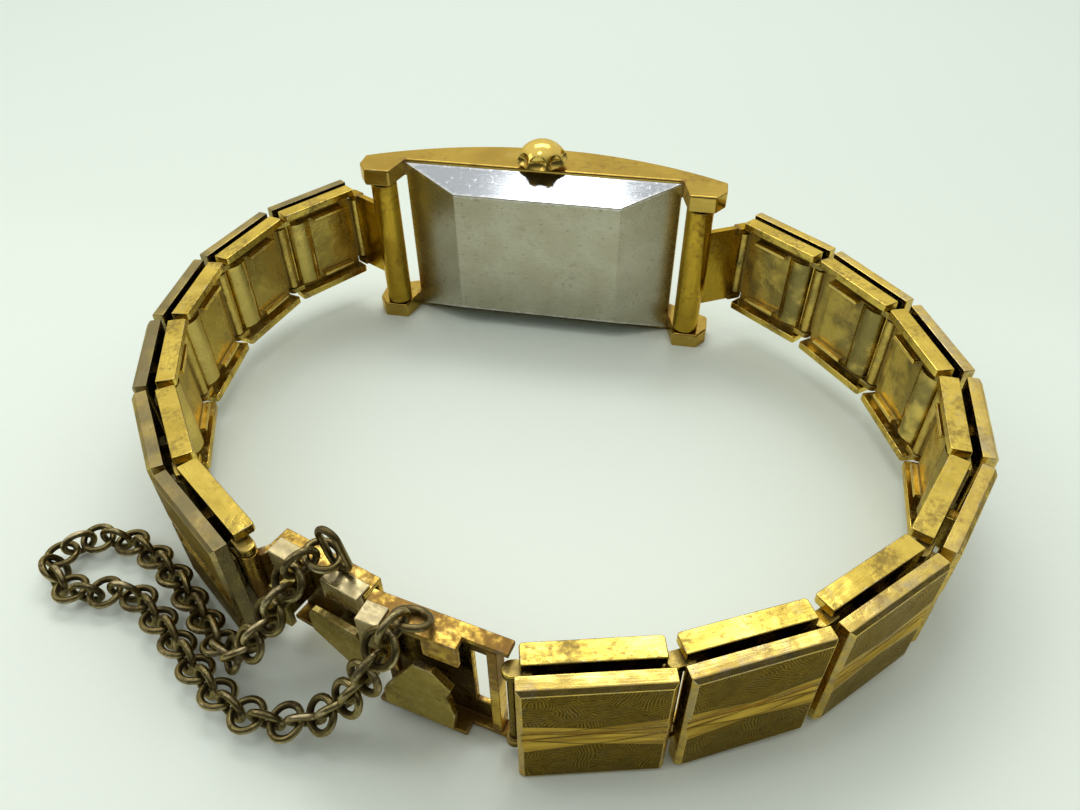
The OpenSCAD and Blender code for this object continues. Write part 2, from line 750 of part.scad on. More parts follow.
// The ladder half: a channel of full width, cut back at its right end where the window and
// the cross bar lie
module clasp_ladder() {
    half_w = link_w / 2;
    color("goldenrod")
        on_ladder()
            difference() {
                union() {
                    channel(0.1, ladder_to, half_w, ladder_web, ladder_front);
                    for (low = [half_w - sheet, -half_w])
                        box([ladder_to - 0.2, ladder_web, low], [ladder_len - 0.2, ladder_web + 0.8, low + sheet]);
                    box([window_to, ladder_web, -half_w + 0.4], [ladder_to, ladder_web + 0.8, half_w - 0.4]);
                    box([window_from - 1.9, ladder_front - sheet, half_w - 1.5],
                        [window_from - 0.1, ladder_front, half_w - sheet]);
                }
                box([window_from, ladder_web - cut, -window_h / 2], [window_to, ladder_web + cut + sheet, window_h / 2]);
                for (low = [half_w - sheet, -half_w])
                    box([window_from - 0.1, ladder_web + 0.8, low - 0.1], [ladder_len, ladder_front + cut, low + sheet + 0.1]);
            }
}

// The ladder half's nickel pieces: the tab folded over its left end and the plate with
// clipped corners on its rivet
module clasp_ladder_plate() {
    half_w = link_w / 2;
    y = ladder_front;
    right = window_from - 0.4;
    color("lightgray")
        on_ladder() {
            box([0.2, y, half_w - 1.9], [1.4, y + plate_t, half_w + sheet / 2]);
            box([0.2, y - 0.7, half_w], [1.4, y, half_w + sheet / 2]);
            facing(y, plate_t, [[right - 3.9, -1.6], [right - 3.9, -2.9], [right - 0.2, -2.9], [right, -1.5], [right - 0.3, 0],
                                [right, 0.8], [right - 0.9, 1.9], [right - 1.9, 1.9]]);
            box([right - 2, ladder_web + sheet, -1.6], [right - 1, y, -0.6]);
        }
}

// A long wire ring in the XZ plane, centred on the origin
module long_ring() {
    bend_r = (ring_d - wire_d) / 2 * 0.75;
    reach = ear_len / 2 - wire_d / 2 - bend_r;
    for (side = [-1, 1]) {
        intersection() {
            translate([side * reach, 0, 0])
                rotate([90, 0, 0])
                    rotate_extrude()
                        translate([bend_r, 0])
                            circle(d = wire_d, $fn = 16);
            translate([side * (reach + ring_d), 0, 0])
                cube(2 * ring_d, center = true);
        }
        translate([-reach, 0, side * bend_r])
            rotate([0, 90, 0])
                cylinder(d = wire_d, h = 2 * reach, $fn = 16);
    }
}

module chain_ear_hook() {
    color("tan")
        on_hook()
            translate([4.9, hook_web + 0.6, hook_w / 2 + ear_len / 2])
                rotate([0, 75, 0])
                    long_ring();
}

module ring() {
    rotate_extrude($fn = 32)
        translate([(ring_d - wire_d) / 2, 0])
            circle(d = wire_d, $fn = 16);
}

module chain_ear_ladder() {
    color("tan")
        on_ladder()
            translate([2.8, ladder_front - 0.35, link_w / 2 + 0.61])
                rotate([30, 0, 0])
                    ring();
}

// Round rings threaded through each other along the route, each turned against the next
module safety_chain() {
    run = chain_run[path_end];
    count = floor(run / ring_step);
    color("darkkhaki")
        for (n = [0:count]) {
            s = n * run / count;
            ahead = chain_at(min(run, s + ring_step / 2)) - chain_at(max(0, s - ring_step / 2));
            along = ahead / norm(ahead);
            level = chain_ref - (chain_ref * along) * along;
            side = level / norm(level);
            tilt = n % 2 == 0 ? -chain_tilt : chain_tilt;
            across = cross(along, cos(tilt) * side + sin(tilt) * cross(along, side));
            translate(chain_at(s))
                rotate([0, acos(across[2]), atan2(across[1], across[0])])
                    ring();
        }
}

case_frame();
case_back();
crystal();
dial();
hour_hand();
minute_hand();
crown();
winding_stem();
setting_lever();
spring_bar(-1);  // spring_bar_left
spring_bar(1);  // spring_bar_right
main_plate();
train_bridge();
mainspring_barrel();
centre_wheel();
balance_wheel();
balance_cock();
end_piece(-1);  // end_piece_left
end_piece(1);  // end_piece_right
for (n = [1:left_count]) {
    on_left(n) link_frame();
    on_left(n) link_cap();
}
for (n = [1:right_count]) {
    on_right(n) link_frame();
    on_right(n) link_cap();
}
clasp_hook();
clasp_hook_plate();
clasp_ladder();
clasp_ladder_plate();
chain_ear_hook();
chain_ear_ladder();
safety_chain();
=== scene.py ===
# Rectangular hand-wound wristwatch on a closed bracelet of folded-sheet links, standing on
# the long side of its case with the crown up. +X runs along the case, +Y is the dial side.

import math
import bmesh
import bpy
from mathutils import Matrix, Vector
from mathutils.kdtree import KDTree


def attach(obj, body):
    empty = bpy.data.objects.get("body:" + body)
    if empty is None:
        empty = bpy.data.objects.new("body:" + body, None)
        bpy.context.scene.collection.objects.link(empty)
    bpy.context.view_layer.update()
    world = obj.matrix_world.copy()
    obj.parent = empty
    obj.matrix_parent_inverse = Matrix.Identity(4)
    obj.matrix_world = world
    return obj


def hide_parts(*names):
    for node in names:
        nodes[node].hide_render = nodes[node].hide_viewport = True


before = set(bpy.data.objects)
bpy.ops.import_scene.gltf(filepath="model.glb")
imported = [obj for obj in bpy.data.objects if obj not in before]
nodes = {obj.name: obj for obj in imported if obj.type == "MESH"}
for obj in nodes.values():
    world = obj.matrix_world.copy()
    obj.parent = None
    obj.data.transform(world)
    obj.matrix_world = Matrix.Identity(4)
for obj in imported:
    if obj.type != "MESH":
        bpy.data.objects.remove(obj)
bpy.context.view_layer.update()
MM = 0.001

# Case. One block of brass, arched over the wrist, with two lugs at each end. It is milled,
# polished and gold plated, and the plating has rubbed thin along its edges.
CASE_ROUNDING = 0.16
CASE_CELL = 0.55
SAME_PLACE = 0.002
ALL_BUT_FLAT = 0.6
CORNER_LEAST = 26
CORNER_POINT_GAP = 0.15
FAR_AWAY = (9, 9, 9)
FURTHEST = 3
ON_THE_CUT = 1e-7
ROUNDING_RUNS_INTO = 0.5
PIECE_SHIFT = 13.7
ELSEWHERE = (31, 17, 5)
STAIN_SHOWS = 0.8
GRIME_SHOWS = 0.9
BARE_SHOWS = 0.85
WARM_SHEEN = (1, 0.86, 0.56, 1)


def corners(shell):
    """The edges of a shell where two faces meet at a sharp outer or inner corner."""
    least = math.radians(CORNER_LEAST)
    outer = []
    inner = []
    for edge in shell.edges:
        if edge.is_manifold:
            bend = edge.calc_face_angle_signed(0)
            if bend > least:
                outer.append(edge)
            if bend < -least:
                inner.append(edge)
    return outer, inner


def points_along(edges):
    """A search tree of points along some edges, to measure how far a place is from them.
    One point far from everything keeps it from being empty."""
    points = [Vector(FAR_AWAY)]
    for edge in edges:
        start, end = (corner.co.copy() for corner in edge.verts)
        count = max(1, round((end - start).length / (CORNER_POINT_GAP * MM)))
        points += [start.lerp(end, step / count) for step in range(count + 1)]
    tree = KDTree(len(points))
    for point in points:
        tree.insert(point, 0)
    tree.balance()
    return tree


def cut_into_cells(shell, cell):
    """Cuts a shell along its own three axes, so that wear can fade across its faces."""
    for axis in range(3):
        low = min(vert.co[axis] for vert in shell.verts)
        high = max(vert.co[axis] for vert in shell.verts)
        count = round((high - low) / cell)
        across = Vector((0, 0, 0))
        across[axis] = 1
        for step in range(1, count):
            at = across * (low + (high - low) * step / count)
            everything = shell.verts[:] + shell.edges[:] + shell.faces[:]
            bmesh.ops.bisect_plane(shell, geom=everything, dist=ON_THE_CUT, plane_co=at,
                                   plane_no=across)


def shading(face, vert, rounded, smooth):
    """The normal of a face's corner: flats stay flat, and the rounding runs into them."""
    around = vert.link_faces
    flats = [near for near in around if not near[rounded]]
    if face[rounded]:
        chosen = [near for near in flats if near.normal.dot(face.normal) > ROUNDING_RUNS_INTO]
        chosen = chosen or around
    else:
        chosen = [near for near in flats if near.normal.dot(face.normal) > smooth]
    total = Vector((0, 0, 0))
    for near in chosen:
        total += near.normal * near.calc_area()
    return total.normalized() if total.length > 0 else face.normal.copy()


def worn_mesh(node, place, rounding, cell, finish_and_shade=None, smooth_to=25, segments=2, extra=None):
    """A node's mesh in the piece's own axes, with its corners rounded as polishing leaves them.
    It carries the distance to the nearest outer and inner corner, in millimetres."""
    mesh = nodes[node].data.copy()
    mesh.transform(place.inverted())
    shell = bmesh.new()
    shell.from_mesh(mesh)
    bmesh.ops.remove_doubles(shell, verts=shell.verts, dist=SAME_PLACE * MM)
    bmesh.ops.dissolve_limit(shell, angle_limit=math.radians(ALL_BUT_FLAT), verts=shell.verts,
                             edges=shell.edges)
    rounded = shell.faces.layers.int.new("rounded")
    outer, inner = corners(shell)
    to_outer = points_along(outer)
    to_inner = points_along(inner)
    made = bmesh.ops.bevel(shell, geom=outer + inner, offset=rounding * MM, segments=segments,
                           profile=0.5, affect="EDGES", clamp_overlap=False)
    for face in made["faces"]:
        face[rounded] = 1
    cut_into_cells(shell, cell * MM)
    if extra:
        extra(shell)
    shell.normal_update()
    edge_layer = shell.verts.layers.float.new("edge")
    nook_layer = shell.verts.layers.float.new("nook")
    for vert in shell.verts:
        vert[edge_layer] = min(FURTHEST, to_outer.find(vert.co)[2] / MM)
        vert[nook_layer] = min(FURTHEST, to_inner.find(vert.co)[2] / MM)
    least = math.cos(math.radians(smooth_to))
    normals = []
    finishes = []
    for face in shell.faces:
        value = finish_and_shade(face.calc_center_median() / MM, face.normal) if finish_and_shade else 0
        for loop in face.loops:
            normals.append(shading(face, loop.vert, rounded, least))
            finishes.append(0 if face[rounded] else value)
    shell.to_mesh(mesh)
    shell.free()
    for polygon in mesh.polygons:
        polygon.use_smooth = True
    mesh.normals_split_custom_set(normals)
    mesh.attributes.new("finish_and_shade", "FLOAT", "CORNER").data.foreach_set("value", finishes)
    mesh.materials.clear()
    return mesh


def fit(name, mesh, material, place, node, body):
    """Puts a finished mesh where its node is, on the body that it moves with."""
    piece = bpy.data.objects.new(name, mesh)
    bpy.context.scene.collection.objects.link(piece)
    piece.matrix_world = place
    mesh.materials.append(material)
    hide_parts(node)
    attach(piece, body)


def feed(tree, node, inputs):
    """Links a shader node's inputs to other nodes' outputs, or sets them to plain values."""
    for name, value in inputs.items():
        if isinstance(value, bpy.types.NodeSocket):
            tree.links.new(value, node.inputs[name])
        else:
            node.inputs[name].default_value = value


def put(tree, kind, inputs=None, **settings):
    """Adds one shader node, sets it up and feeds it."""
    made = tree.nodes.new("ShaderNode" + kind)
    for name, value in settings.items():
        setattr(made, name, value)
    feed(tree, made, inputs or {})
    return made


def use(tree, group, inputs=None):
    """Places an effect in a material with its own values, and gives back its outputs."""
    return put(tree, "Group", inputs, node_tree=group).outputs


def marked(tree, name):
    """A number that the mesh carries, such as its distance to an edge."""
    return put(tree, "Attribute", attribute_name=name).outputs["Fac"]


def coordinate(tree, place, axis):
    """One coordinate of a place."""
    return put(tree, "SeparateXYZ", {0: place}).outputs[axis]


def noise(tree, point, scale, detail, **others):
    """Cloudy noise, as a number around a half."""
    inputs = {"Vector": point, "Scale": scale, "Detail": detail, **others}
    return put(tree, "TexNoise", inputs).outputs["Fac"]


def spread(tree, value, low, high, bottom=0.0, top=1.0):
    """Turns the range from low to high into the range from bottom to top, eased at both ends."""
    made = put(tree, "MapRange", {"Value": value, "From Min": low, "From Max": high,
                                  "To Min": bottom, "To Max": top},
               interpolation_type="SMOOTHSTEP")
    return made.outputs["Result"]


def sum_of(tree, first, second, how="ADD"):
    """Two numbers joined by one sum, such as ADD or MULTIPLY."""
    return put(tree, "Math", {0: first, 1: second}, operation=how).outputs[0]


def between(tree, share, first, second):
    """A colour between two colours."""
    made = put(tree, "Mix", {0: share, 6: first, 7: second}, data_type="RGBA")
    return made.outputs[2]


def bumped(tree, height, strength, distance, **others):
    """The normal of a surface that a height raises, by a distance in millimetres."""
    inputs = {"Height": height, "Strength": strength, "Distance": distance * MM, **others}
    return put(tree, "Bump", inputs).outputs["Normal"]


def effect(name, inputs, outputs):
    """An empty shader node group with named inputs and outputs."""
    tree = bpy.data.node_groups.new(name, "ShaderNodeTree")
    for label, kind, value in inputs:
        socket = tree.interface.new_socket(label, in_out="INPUT", socket_type="NodeSocket" + kind)
        socket.default_value = value
    for label, kind in outputs:
        tree.interface.new_socket(label, in_out="OUTPUT", socket_type="NodeSocket" + kind)
    return tree, tree.nodes.new("NodeGroupInput").outputs, tree.nodes.new("NodeGroupOutput")


def level_for(tree, cover, top, span):
    """The value above which noise covers about this share of a surface, from the noise's top
    and from how far down it reaches."""
    return sum_of(tree, top, sum_of(tree, cover, span, "MULTIPLY"), "SUBTRACT")


# Where a pattern lies on its piece, in millimetres, shifted by the number of the piece.
spot, _, gives = effect("spot", [], [("Point", "Vector"), ("Place", "Vector")])
own_axes = put(spot, "TexCoord").outputs["Object"]
in_mm = put(spot, "VectorMath", {0: own_axes, "Scale": 1 / MM}, operation="SCALE").outputs[0]
shift = sum_of(spot, marked(spot, "number"), PIECE_SHIFT, "MULTIPLY")
shifted = put(spot, "VectorMath", {0: in_mm, 1: shift}).outputs[0]
feed(spot, gives, {"Point": shifted, "Place": in_mm})

# Plating rubbed off outer corners, and grime that stays in inner ones.
GRIME_REACH = 0.45
AT_THE_CORNER = 0.02
rubbing, given, gives = effect(
    "rubbing",
    [("Point", "Vector", (0, 0, 0)), ("Reach", "Float", 0.3), ("Ragged", "Float", 0.5),
     ("Grain", "Float", 3)],
    [("Worn", "Float"), ("Grime", "Float")])
crumbs = sum_of(rubbing, noise(rubbing, given["Point"], given["Grain"], 4), 0.5, "SUBTRACT")
raggedness = sum_of(rubbing, crumbs, given["Ragged"], "MULTIPLY")
edge = sum_of(rubbing, marked(rubbing, "edge"), raggedness)
nook = sum_of(rubbing, marked(rubbing, "nook"), raggedness)
feed(rubbing, gives, {"Worn": spread(rubbing, edge, given["Reach"], AT_THE_CORNER),
                      "Grime": spread(rubbing, nook, GRIME_REACH, AT_THE_CORNER)})

# Blotches of tarnish.
blotching, given, gives = effect(
    "blotching",
    [("Point", "Vector", (0, 0, 0)), ("Grain", "Float", 1), ("Cover", "Float", 0.5),
     ("Soft", "Float", 0.06)],
    [("Blotch", "Float")])
cloud = noise(blotching, given["Point"], given["Grain"], 6, Roughness=0.62, Distortion=0.4)
level = level_for(blotching, given["Cover"], 0.72, 0.44)
blotch = spread(blotching, cloud, sum_of(blotching, level, given["Soft"], "SUBTRACT"),
                sum_of(blotching, level, given["Soft"]))
feed(blotching, gives, {"Blotch": blotch})

# Speckled tarnish that gathers in patches.
SPECKLE_FINER = 8
SPECKLE_SHARE = 0.4
tarnishing, given, gives = effect(
    "tarnishing",
    [("Point", "Vector", (0, 0, 0)), ("Grain", "Float", 1), ("Cover", "Float", 0.5)],
    [("Stain", "Float")])
fine_grain = sum_of(tarnishing, given["Grain"], SPECKLE_FINER, "MULTIPLY")
speckle = noise(tarnishing, given["Point"], fine_grain, 4, Roughness=0.6)
patch = noise(tarnishing, given["Point"], given["Grain"], 3)
gathered = sum_of(tarnishing, sum_of(tarnishing, speckle, SPECKLE_SHARE, "MULTIPLY"),
                  sum_of(tarnishing, patch, 1 - SPECKLE_SHARE, "MULTIPLY"))
level = level_for(tarnishing, given["Cover"], 0.66, 0.32)
stain = spread(tarnishing, gathered, sum_of(tarnishing, level, 0.06, "SUBTRACT"),
               sum_of(tarnishing, level, 0.14))
feed(tarnishing, gives, {"Stain": stain})

# Fine lines left by brushing and by years of rubbing, drawn out along one axis.
brushing, given, gives = effect(
    "brushing",
    [("Point", "Vector", (0, 0, 0)), ("Across", "Vector", (1, 12, 12))],
    [("Line", "Float")])
drawn_out = put(brushing, "VectorMath", {0: given["Point"], 1: given["Across"]},
                operation="MULTIPLY").outputs[0]
feed(brushing, gives, {"Line": noise(brushing, drawn_out, 1, 3)})


def new_material(name):
    """A material with its shader, still to be fed."""
    material = bpy.data.materials.new(name)
    material.use_nodes = True
    return material, material.node_tree, material.node_tree.nodes["Principled BSDF"]


def worn_metal(name, fresh, dull, stained, bare, roughness, wear, tarnish, bareness, across, relief,
               dents):
    """Plated metal: four tones, rubbed corners, tarnish, fine lines and the shallow dents that
    make its reflections wander. Roughness is that of fresh and of dull metal and what a stain
    adds, wear is its reach, raggedness and grain, and tarnish is its size and its cover.
    Relief and dents are heights in millimetres."""
    material, tree, shader = new_material(name)
    reach, ragged, grain = wear
    size, cover = tarnish
    point = use(tree, spot)["Point"]
    rubbed = use(tree, rubbing, {"Point": point, "Reach": reach, "Ragged": ragged, "Grain": grain})
    shade = use(tree, blotching, {"Point": point, "Grain": 0.5 / size, "Cover": 0.5,
                                  "Soft": 0.2})["Blotch"]
    stain = use(tree, tarnishing, {"Point": point, "Grain": 0.6 / size, "Cover": cover})["Stain"]
    elsewhere = put(tree, "VectorMath", {0: point, 1: ELSEWHERE}).outputs[0]
    bare_patch = use(tree, tarnishing, {"Point": elsewhere, "Grain": 0.35 / size,
                                        "Cover": bareness})["Stain"]
    line = use(tree, brushing, {"Point": point, "Across": across})["Line"]
    swell = noise(tree, point, 0.45, 2)
    grime_and_painted_shade = sum_of(tree, rubbed["Grime"], GRIME_SHOWS, "MULTIPLY")
    stain = sum_of(tree, sum_of(tree, stain, STAIN_SHOWS, "MULTIPLY"), grime_and_painted_shade, "MAXIMUM")
    worn_edge = sum_of(tree, rubbed["Worn"], spread(tree, shade, 0.3, 0.9, 0.1, 0.9), "MULTIPLY")
    bare_patch = sum_of(tree, bare_patch, BARE_SHOWS, "MULTIPLY")
    worn_off = sum_of(tree, worn_edge, bare_patch, "MAXIMUM")
    streak = spread(tree, line, 0.4, 0.68, 0, 0.6)
    colour = between(tree, sum_of(tree, shade, streak, "MAXIMUM"), (*fresh, 1), (*dull, 1))
    colour = between(tree, worn_off, colour, (*bare, 1))
    colour = between(tree, stain, colour, (*stained, 1))
    rough = spread(tree, shade, 0, 1, roughness[0], roughness[1])
    rough = sum_of(tree, rough, spread(tree, stain, 0, 1, 0, roughness[2]))
    rough = sum_of(tree, rough, spread(tree, line, 0.3, 0.7, -0.03, 0.05))
    height = sum_of(tree, line, sum_of(tree, stain, -1.5, "MULTIPLY"))
    dented = bumped(tree, swell, 1, dents)
    feed(tree, shader, {"Base Color": colour, "Roughness": rough,
                        "Metallic": spread(tree, stain, 0, 1, 1, 0.7),
                        "Specular Tint": WARM_SHEEN,
                        "Normal": bumped(tree, height, 0.6, relief, Normal=dented)})
    return material


AS_IS = Matrix.Identity(4)
case_gold = worn_metal("case_gold", fresh=(0.57, 0.40, 0.085), dull=(0.39, 0.255, 0.055),
                       stained=(0.20, 0.10, 0.03), bare=(0.54, 0.43, 0.21),
                       roughness=(0.12, 0.2, 0.12), wear=(0.08, 0.3, 1.6), tarnish=(3, 0.2),
                       bareness=0, across=(0.5, 7, 7), relief=0.004, dents=0.035)
case_mesh = worn_mesh("case_frame", AS_IS, CASE_ROUNDING, CASE_CELL, segments=3)
fit("case", case_mesh, case_gold, AS_IS, "case_frame", "case")

# Case back. A hipped lid of stainless steel that snaps into the case. Its broad flat is
# satin, and the facets that slope down to the case are polished.
BACK_ROUNDING = 0.05
BACK_CELL = 0.6
BACK_SMOOTH_TO = 4
FLAT_SATIN = 1
FACET_POLISH = 2
FACET_LEANS = 0.3
SATIN_STEEL = (0.49, 0.465, 0.36, 1)
HAZY_STEEL = (0.42, 0.39, 0.285, 1)
SPOTTED_STEEL = (0.34, 0.31, 0.235, 1)
POLISHED_STEEL = (0.43, 0.45, 0.48, 1)
WORN_STEEL = (0.78, 0.78, 0.76, 1)


def back_finish(centre, normal):
    """Polish on the facets that lean up or down, and satin on the rest."""
    return FACET_POLISH if abs(normal.z) > FACET_LEANS else FLAT_SATIN


def finish_is(tree, finish_and_shade):
    """1 on the faces that have this finish, and 0 on those that have another."""
    kind = marked(tree, "finish_and_shade")
    reached = spread(tree, kind, finish_and_shade - 0.8, finish_and_shade - 0.2)
    passed = spread(tree, kind, finish_and_shade + 0.2, finish_and_shade + 0.8)
    return sum_of(tree, reached, passed, "SUBTRACT")


back_steel, tree, shader = new_material("case_back_steel")
point = use(tree, spot)["Point"]
worn = use(tree, rubbing, {"Point": point, "Reach": 0.25, "Ragged": 0.5, "Grain": 2.5})["Worn"]
haze = use(tree, blotching, {"Point": point, "Grain": 0.35, "Cover": 0.55, "Soft": 0.2})["Blotch"]
spots = use(tree, blotching, {"Point": point, "Grain": 2.4, "Cover": 0.2, "Soft": 0.05})["Blotch"]
satin_line = use(tree, brushing, {"Point": point, "Across": (0.7, 20, 20)})["Line"]
polish = finish_is(tree, FACET_POLISH)
satin = between(tree, haze, SATIN_STEEL, HAZY_STEEL)
satin = between(tree, spots, satin, SPOTTED_STEEL)
colour = between(tree, polish, satin, POLISHED_STEEL)
colour = between(tree, sum_of(tree, worn, 0.6, "MULTIPLY"), colour, WORN_STEEL)
rough = sum_of(tree, spread(tree, polish, 0, 1, 0.27, 0.1),
               spread(tree, satin_line, 0.3, 0.7, -0.03, 0.06))
height = sum_of(tree, satin_line, sum_of(tree, spots, -1, "MULTIPLY"))
feed(tree, shader, {"Base Color": colour, "Roughness": rough, "Metallic": 1,
                    "Normal": bumped(tree, height, 0.5, 0.004)})
back_mesh = worn_mesh("case_back", AS_IS, BACK_ROUNDING, BACK_CELL, finish_and_shade=back_finish,
                      smooth_to=BACK_SMOOTH_TO)
fit("case_back_lid", back_mesh, back_steel, AS_IS, "case_back", "case")

# Crystal. A curved pane of glass, ground to follow the front of the case and pressed into
# the bezel, with hairline scratches on its outer face.
CLEAR = (0.97, 0.98, 0.97, 1)
glass, tree, shader = new_material("crystal_glass")
point = use(tree, spot)["Point"]
hairline = use(tree, brushing, {"Point": point, "Across": (1.1, 3, 17)})["Line"]
feed(tree, shader, {"Base Color": CLEAR, "Transmission Weight": 1, "IOR": 1.5,
                    "Roughness": spread(tree, hairline, 0.6, 0.75, 0.015, 0.12),
                    "Normal": bumped(tree, hairline, 0.2, 0.002)})


def clothe(node, material):
    """Gives a node's own object its material."""
    nodes[node].data.materials.clear()
    nodes[node].data.materials.append(material)


clothe("crystal", glass)

# Dial. A thin silvered brass plate with a fine upright grain, and ten raised gilt batons
# pressed into it. The hands are stamped from gilt brass and pushed onto their pipes.
DIAL_FACE = 0.012
NEW_SILVERING = (0.80, 0.78, 0.70, 1)
AGED_SILVERING = (0.70, 0.65, 0.52, 1)
BATON_GILT = (0.80, 0.56, 0.20, 1)
dial_silver, tree, shader = new_material("dial_silver")
point = use(tree, spot)["Point"]
upright = use(tree, brushing, {"Point": point, "Across": (26, 2, 0.5)})["Line"]
age = use(tree, blotching, {"Point": point, "Grain": 0.4, "Cover": 0.4, "Soft": 0.2})["Blotch"]
baton = spread(tree, coordinate(tree, point, "Y"), DIAL_FACE, 2 * DIAL_FACE)
silvered = between(tree, age, NEW_SILVERING, AGED_SILVERING)
feed(tree, shader, {"Base Color": between(tree, baton, silvered, BATON_GILT),
                    "Metallic": spread(tree, baton, 0, 1, 0.45, 1),
                    "Roughness": spread(tree, baton, 0, 1, 0.42, 0.18),
                    "Normal": bumped(tree, upright, 0.4, 0.004)})
clothe("dial", dial_silver)


def plain_metal(name, bright, dull, roughness, across, relief):
    """Unplated metal away from the wearer's touch: two tones and the lines of its last cut."""
    material, tree, shader = new_material(name)
    point = use(tree, spot)["Point"]
    line = use(tree, brushing, {"Point": point, "Across": across})["Line"]
    dullness = use(tree, blotching, {"Point": point, "Grain": 0.8, "Cover": 0.5,
                                     "Soft": 0.15})["Blotch"]
    rough = sum_of(tree, spread(tree, dullness, 0, 1, roughness, roughness + 0.1),
                   spread(tree, line, 0.3, 0.7, -0.03, 0.05))
    feed(tree, shader, {"Base Color": between(tree, dullness, (*bright, 1), (*dull, 1)),
                        "Roughness": rough, "Metallic": 1,
                        "Normal": bumped(tree, line, 0.6, relief)})
    return material


hand_gilt = plain_metal("hand_gilt", bright=(0.80, 0.56, 0.20), dull=(0.66, 0.44, 0.14),
                        roughness=0.16, across=(14, 14, 1), relief=0.002)
clothe("hour_hand", hand_gilt)
clothe("minute_hand", hand_gilt)

# Movement. The plates are brass, brushed lengthwise and grained. Barrel and wheels are
# turned. The stem, the lever and the spring bars are steel.
movement_brass = plain_metal("movement_brass", bright=(0.72, 0.58, 0.32), dull=(0.60, 0.46, 0.24),
                             roughness=0.28, across=(0.6, 10, 10), relief=0.004)
turned_brass = plain_metal("turned_brass", bright=(0.76, 0.58, 0.26), dull=(0.64, 0.46, 0.18),
                           roughness=0.2, across=(6, 1, 6), relief=0.003)
tool_steel = plain_metal("tool_steel", bright=(0.56, 0.56, 0.55), dull=(0.42, 0.41, 0.39),
                         roughness=0.25, across=(10, 10, 1), relief=0.003)
for node in ("main_plate", "train_bridge", "balance_cock"):
    clothe(node, movement_brass)
for node in ("mainspring_barrel", "centre_wheel", "balance_wheel"):
    clothe(node, turned_brass)
for node in ("winding_stem", "setting_lever", "spring_bar_left", "spring_bar_right"):
    clothe(node, tool_steel)

# Crown. A turned dome of plated brass with eight scallops ground into its side, so that
# two fingers can grip it. It is screwed onto the winding stem.
CROWN_AT = Matrix.Translation(Vector((0, -1.1, 13.9)) * MM)
CROWN_RADIUS = 2.0
CROWN_HEIGHT = 1.9
DOME_RADIUS = CROWN_RADIUS + 0.1
DOME_CENTRE = CROWN_HEIGHT - DOME_RADIUS
DOME_FROM = 0.42
DOME_LEAST_LEAN = 3
CROWN_FOOT = 1.1
CROWN_FOOT_TOP = 0.28
RIM_UNDER = 0.3
RIM_TOP = 0.36
SCALLOPS = 8
SCALLOP_RADIUS = 0.86
SCALLOP_OUT = 2.3
SCALLOP_UP = 0.97
SCALLOP_LIP = 0.05
EDGE_AT_LIP = 0.1
EDGE_ON_DOME = 0.5
AROUND = 160
UP = 36
CROWN_CREASE = 38


def crown_reach(turn, height, radius):
    """How far out the crown's side is at a height, where the scallops cut into it."""
    step = 2 * math.pi / SCALLOPS
    aside = (turn + step / 2) % step - step / 2
    room = SCALLOP_RADIUS ** 2 - (height - SCALLOP_UP) ** 2 - (SCALLOP_OUT * math.sin(aside)) ** 2
    if room <= 0:
        return radius
    return min(radius, SCALLOP_OUT * math.cos(aside) - math.sqrt(room))


def crown_profile():
    """The crown's turned outline from its foot up: radius, height and distance to a nook."""
    outline = [(CROWN_FOOT, 0.0, 0.1), (CROWN_FOOT, CROWN_FOOT_TOP, 0.0),
               (CROWN_RADIUS - 0.16, RIM_UNDER, 0.1), (CROWN_RADIUS - 0.05, RIM_TOP, 0.4)]
    for step in range(UP):
        lean = math.radians(DOME_LEAST_LEAN + (90 - DOME_LEAST_LEAN) * step / UP)
        height = DOME_CENTRE + DOME_RADIUS * math.sin(lean)
        if height > DOME_FROM:
            outline.append((min(CROWN_RADIUS, DOME_RADIUS * math.cos(lean)), height, 1.0))
    return outline


def smooth_mesh(name, shell, crease=None):
    """Turns a shell into a smooth mesh, which stays sharp where it bends more than the crease."""
    mesh = bpy.data.meshes.new(name)
    shell.to_mesh(mesh)
    shell.free()
    mesh.polygons.foreach_set("use_smooth", [True] * len(mesh.polygons))
    if crease:
        mesh.set_sharp_from_angle(angle=math.radians(crease))
    return mesh


shell = bmesh.new()
edge_layer = shell.verts.layers.float.new("edge")
nook_layer = shell.verts.layers.float.new("nook")
rings = []
for radius, height, from_nook in crown_profile():
    ring = []
    for step in range(AROUND):
        turn = 2 * math.pi * step / AROUND
        out = crown_reach(turn, height, radius) if radius > CROWN_FOOT else radius
        vert = shell.verts.new((out * math.cos(turn) * MM, out * math.sin(turn) * MM, height * MM))
        depth = radius - out
        vert[edge_layer] = EDGE_AT_LIP if 0 < depth < SCALLOP_LIP else EDGE_ON_DOME + depth
        vert[nook_layer] = from_nook
        ring.append(vert)
    rings.append(ring)
top = shell.verts.new((0, 0, CROWN_HEIGHT * MM))
top[edge_layer] = 1
top[nook_layer] = 1
for low_ring, high_ring in zip(rings, rings[1:]):
    for step in range(AROUND):
        after = (step + 1) % AROUND
        shell.faces.new((low_ring[step], low_ring[after], high_ring[after], high_ring[step]))
for step in range(AROUND):
    shell.faces.new((rings[-1][step], rings[-1][(step + 1) % AROUND], top))
shell.faces.new(list(reversed(rings[0])))
crown_mesh = smooth_mesh("crown", shell, CROWN_CREASE)
crown_gold = worn_metal("crown_gold", fresh=(0.80, 0.58, 0.14), dull=(0.60, 0.40, 0.08),
                        stained=(0.24, 0.13, 0.025), bare=(0.76, 0.62, 0.30),
                        roughness=(0.12, 0.2, 0.2), wear=(0.12, 0.2, 2.5), tarnish=(1.6, 0.1),
                        bareness=0, across=(9, 9, 2), relief=0.003, dents=0.01)
fit("crown_dome", crown_mesh, crown_gold, CROWN_AT, "crown", "winding")

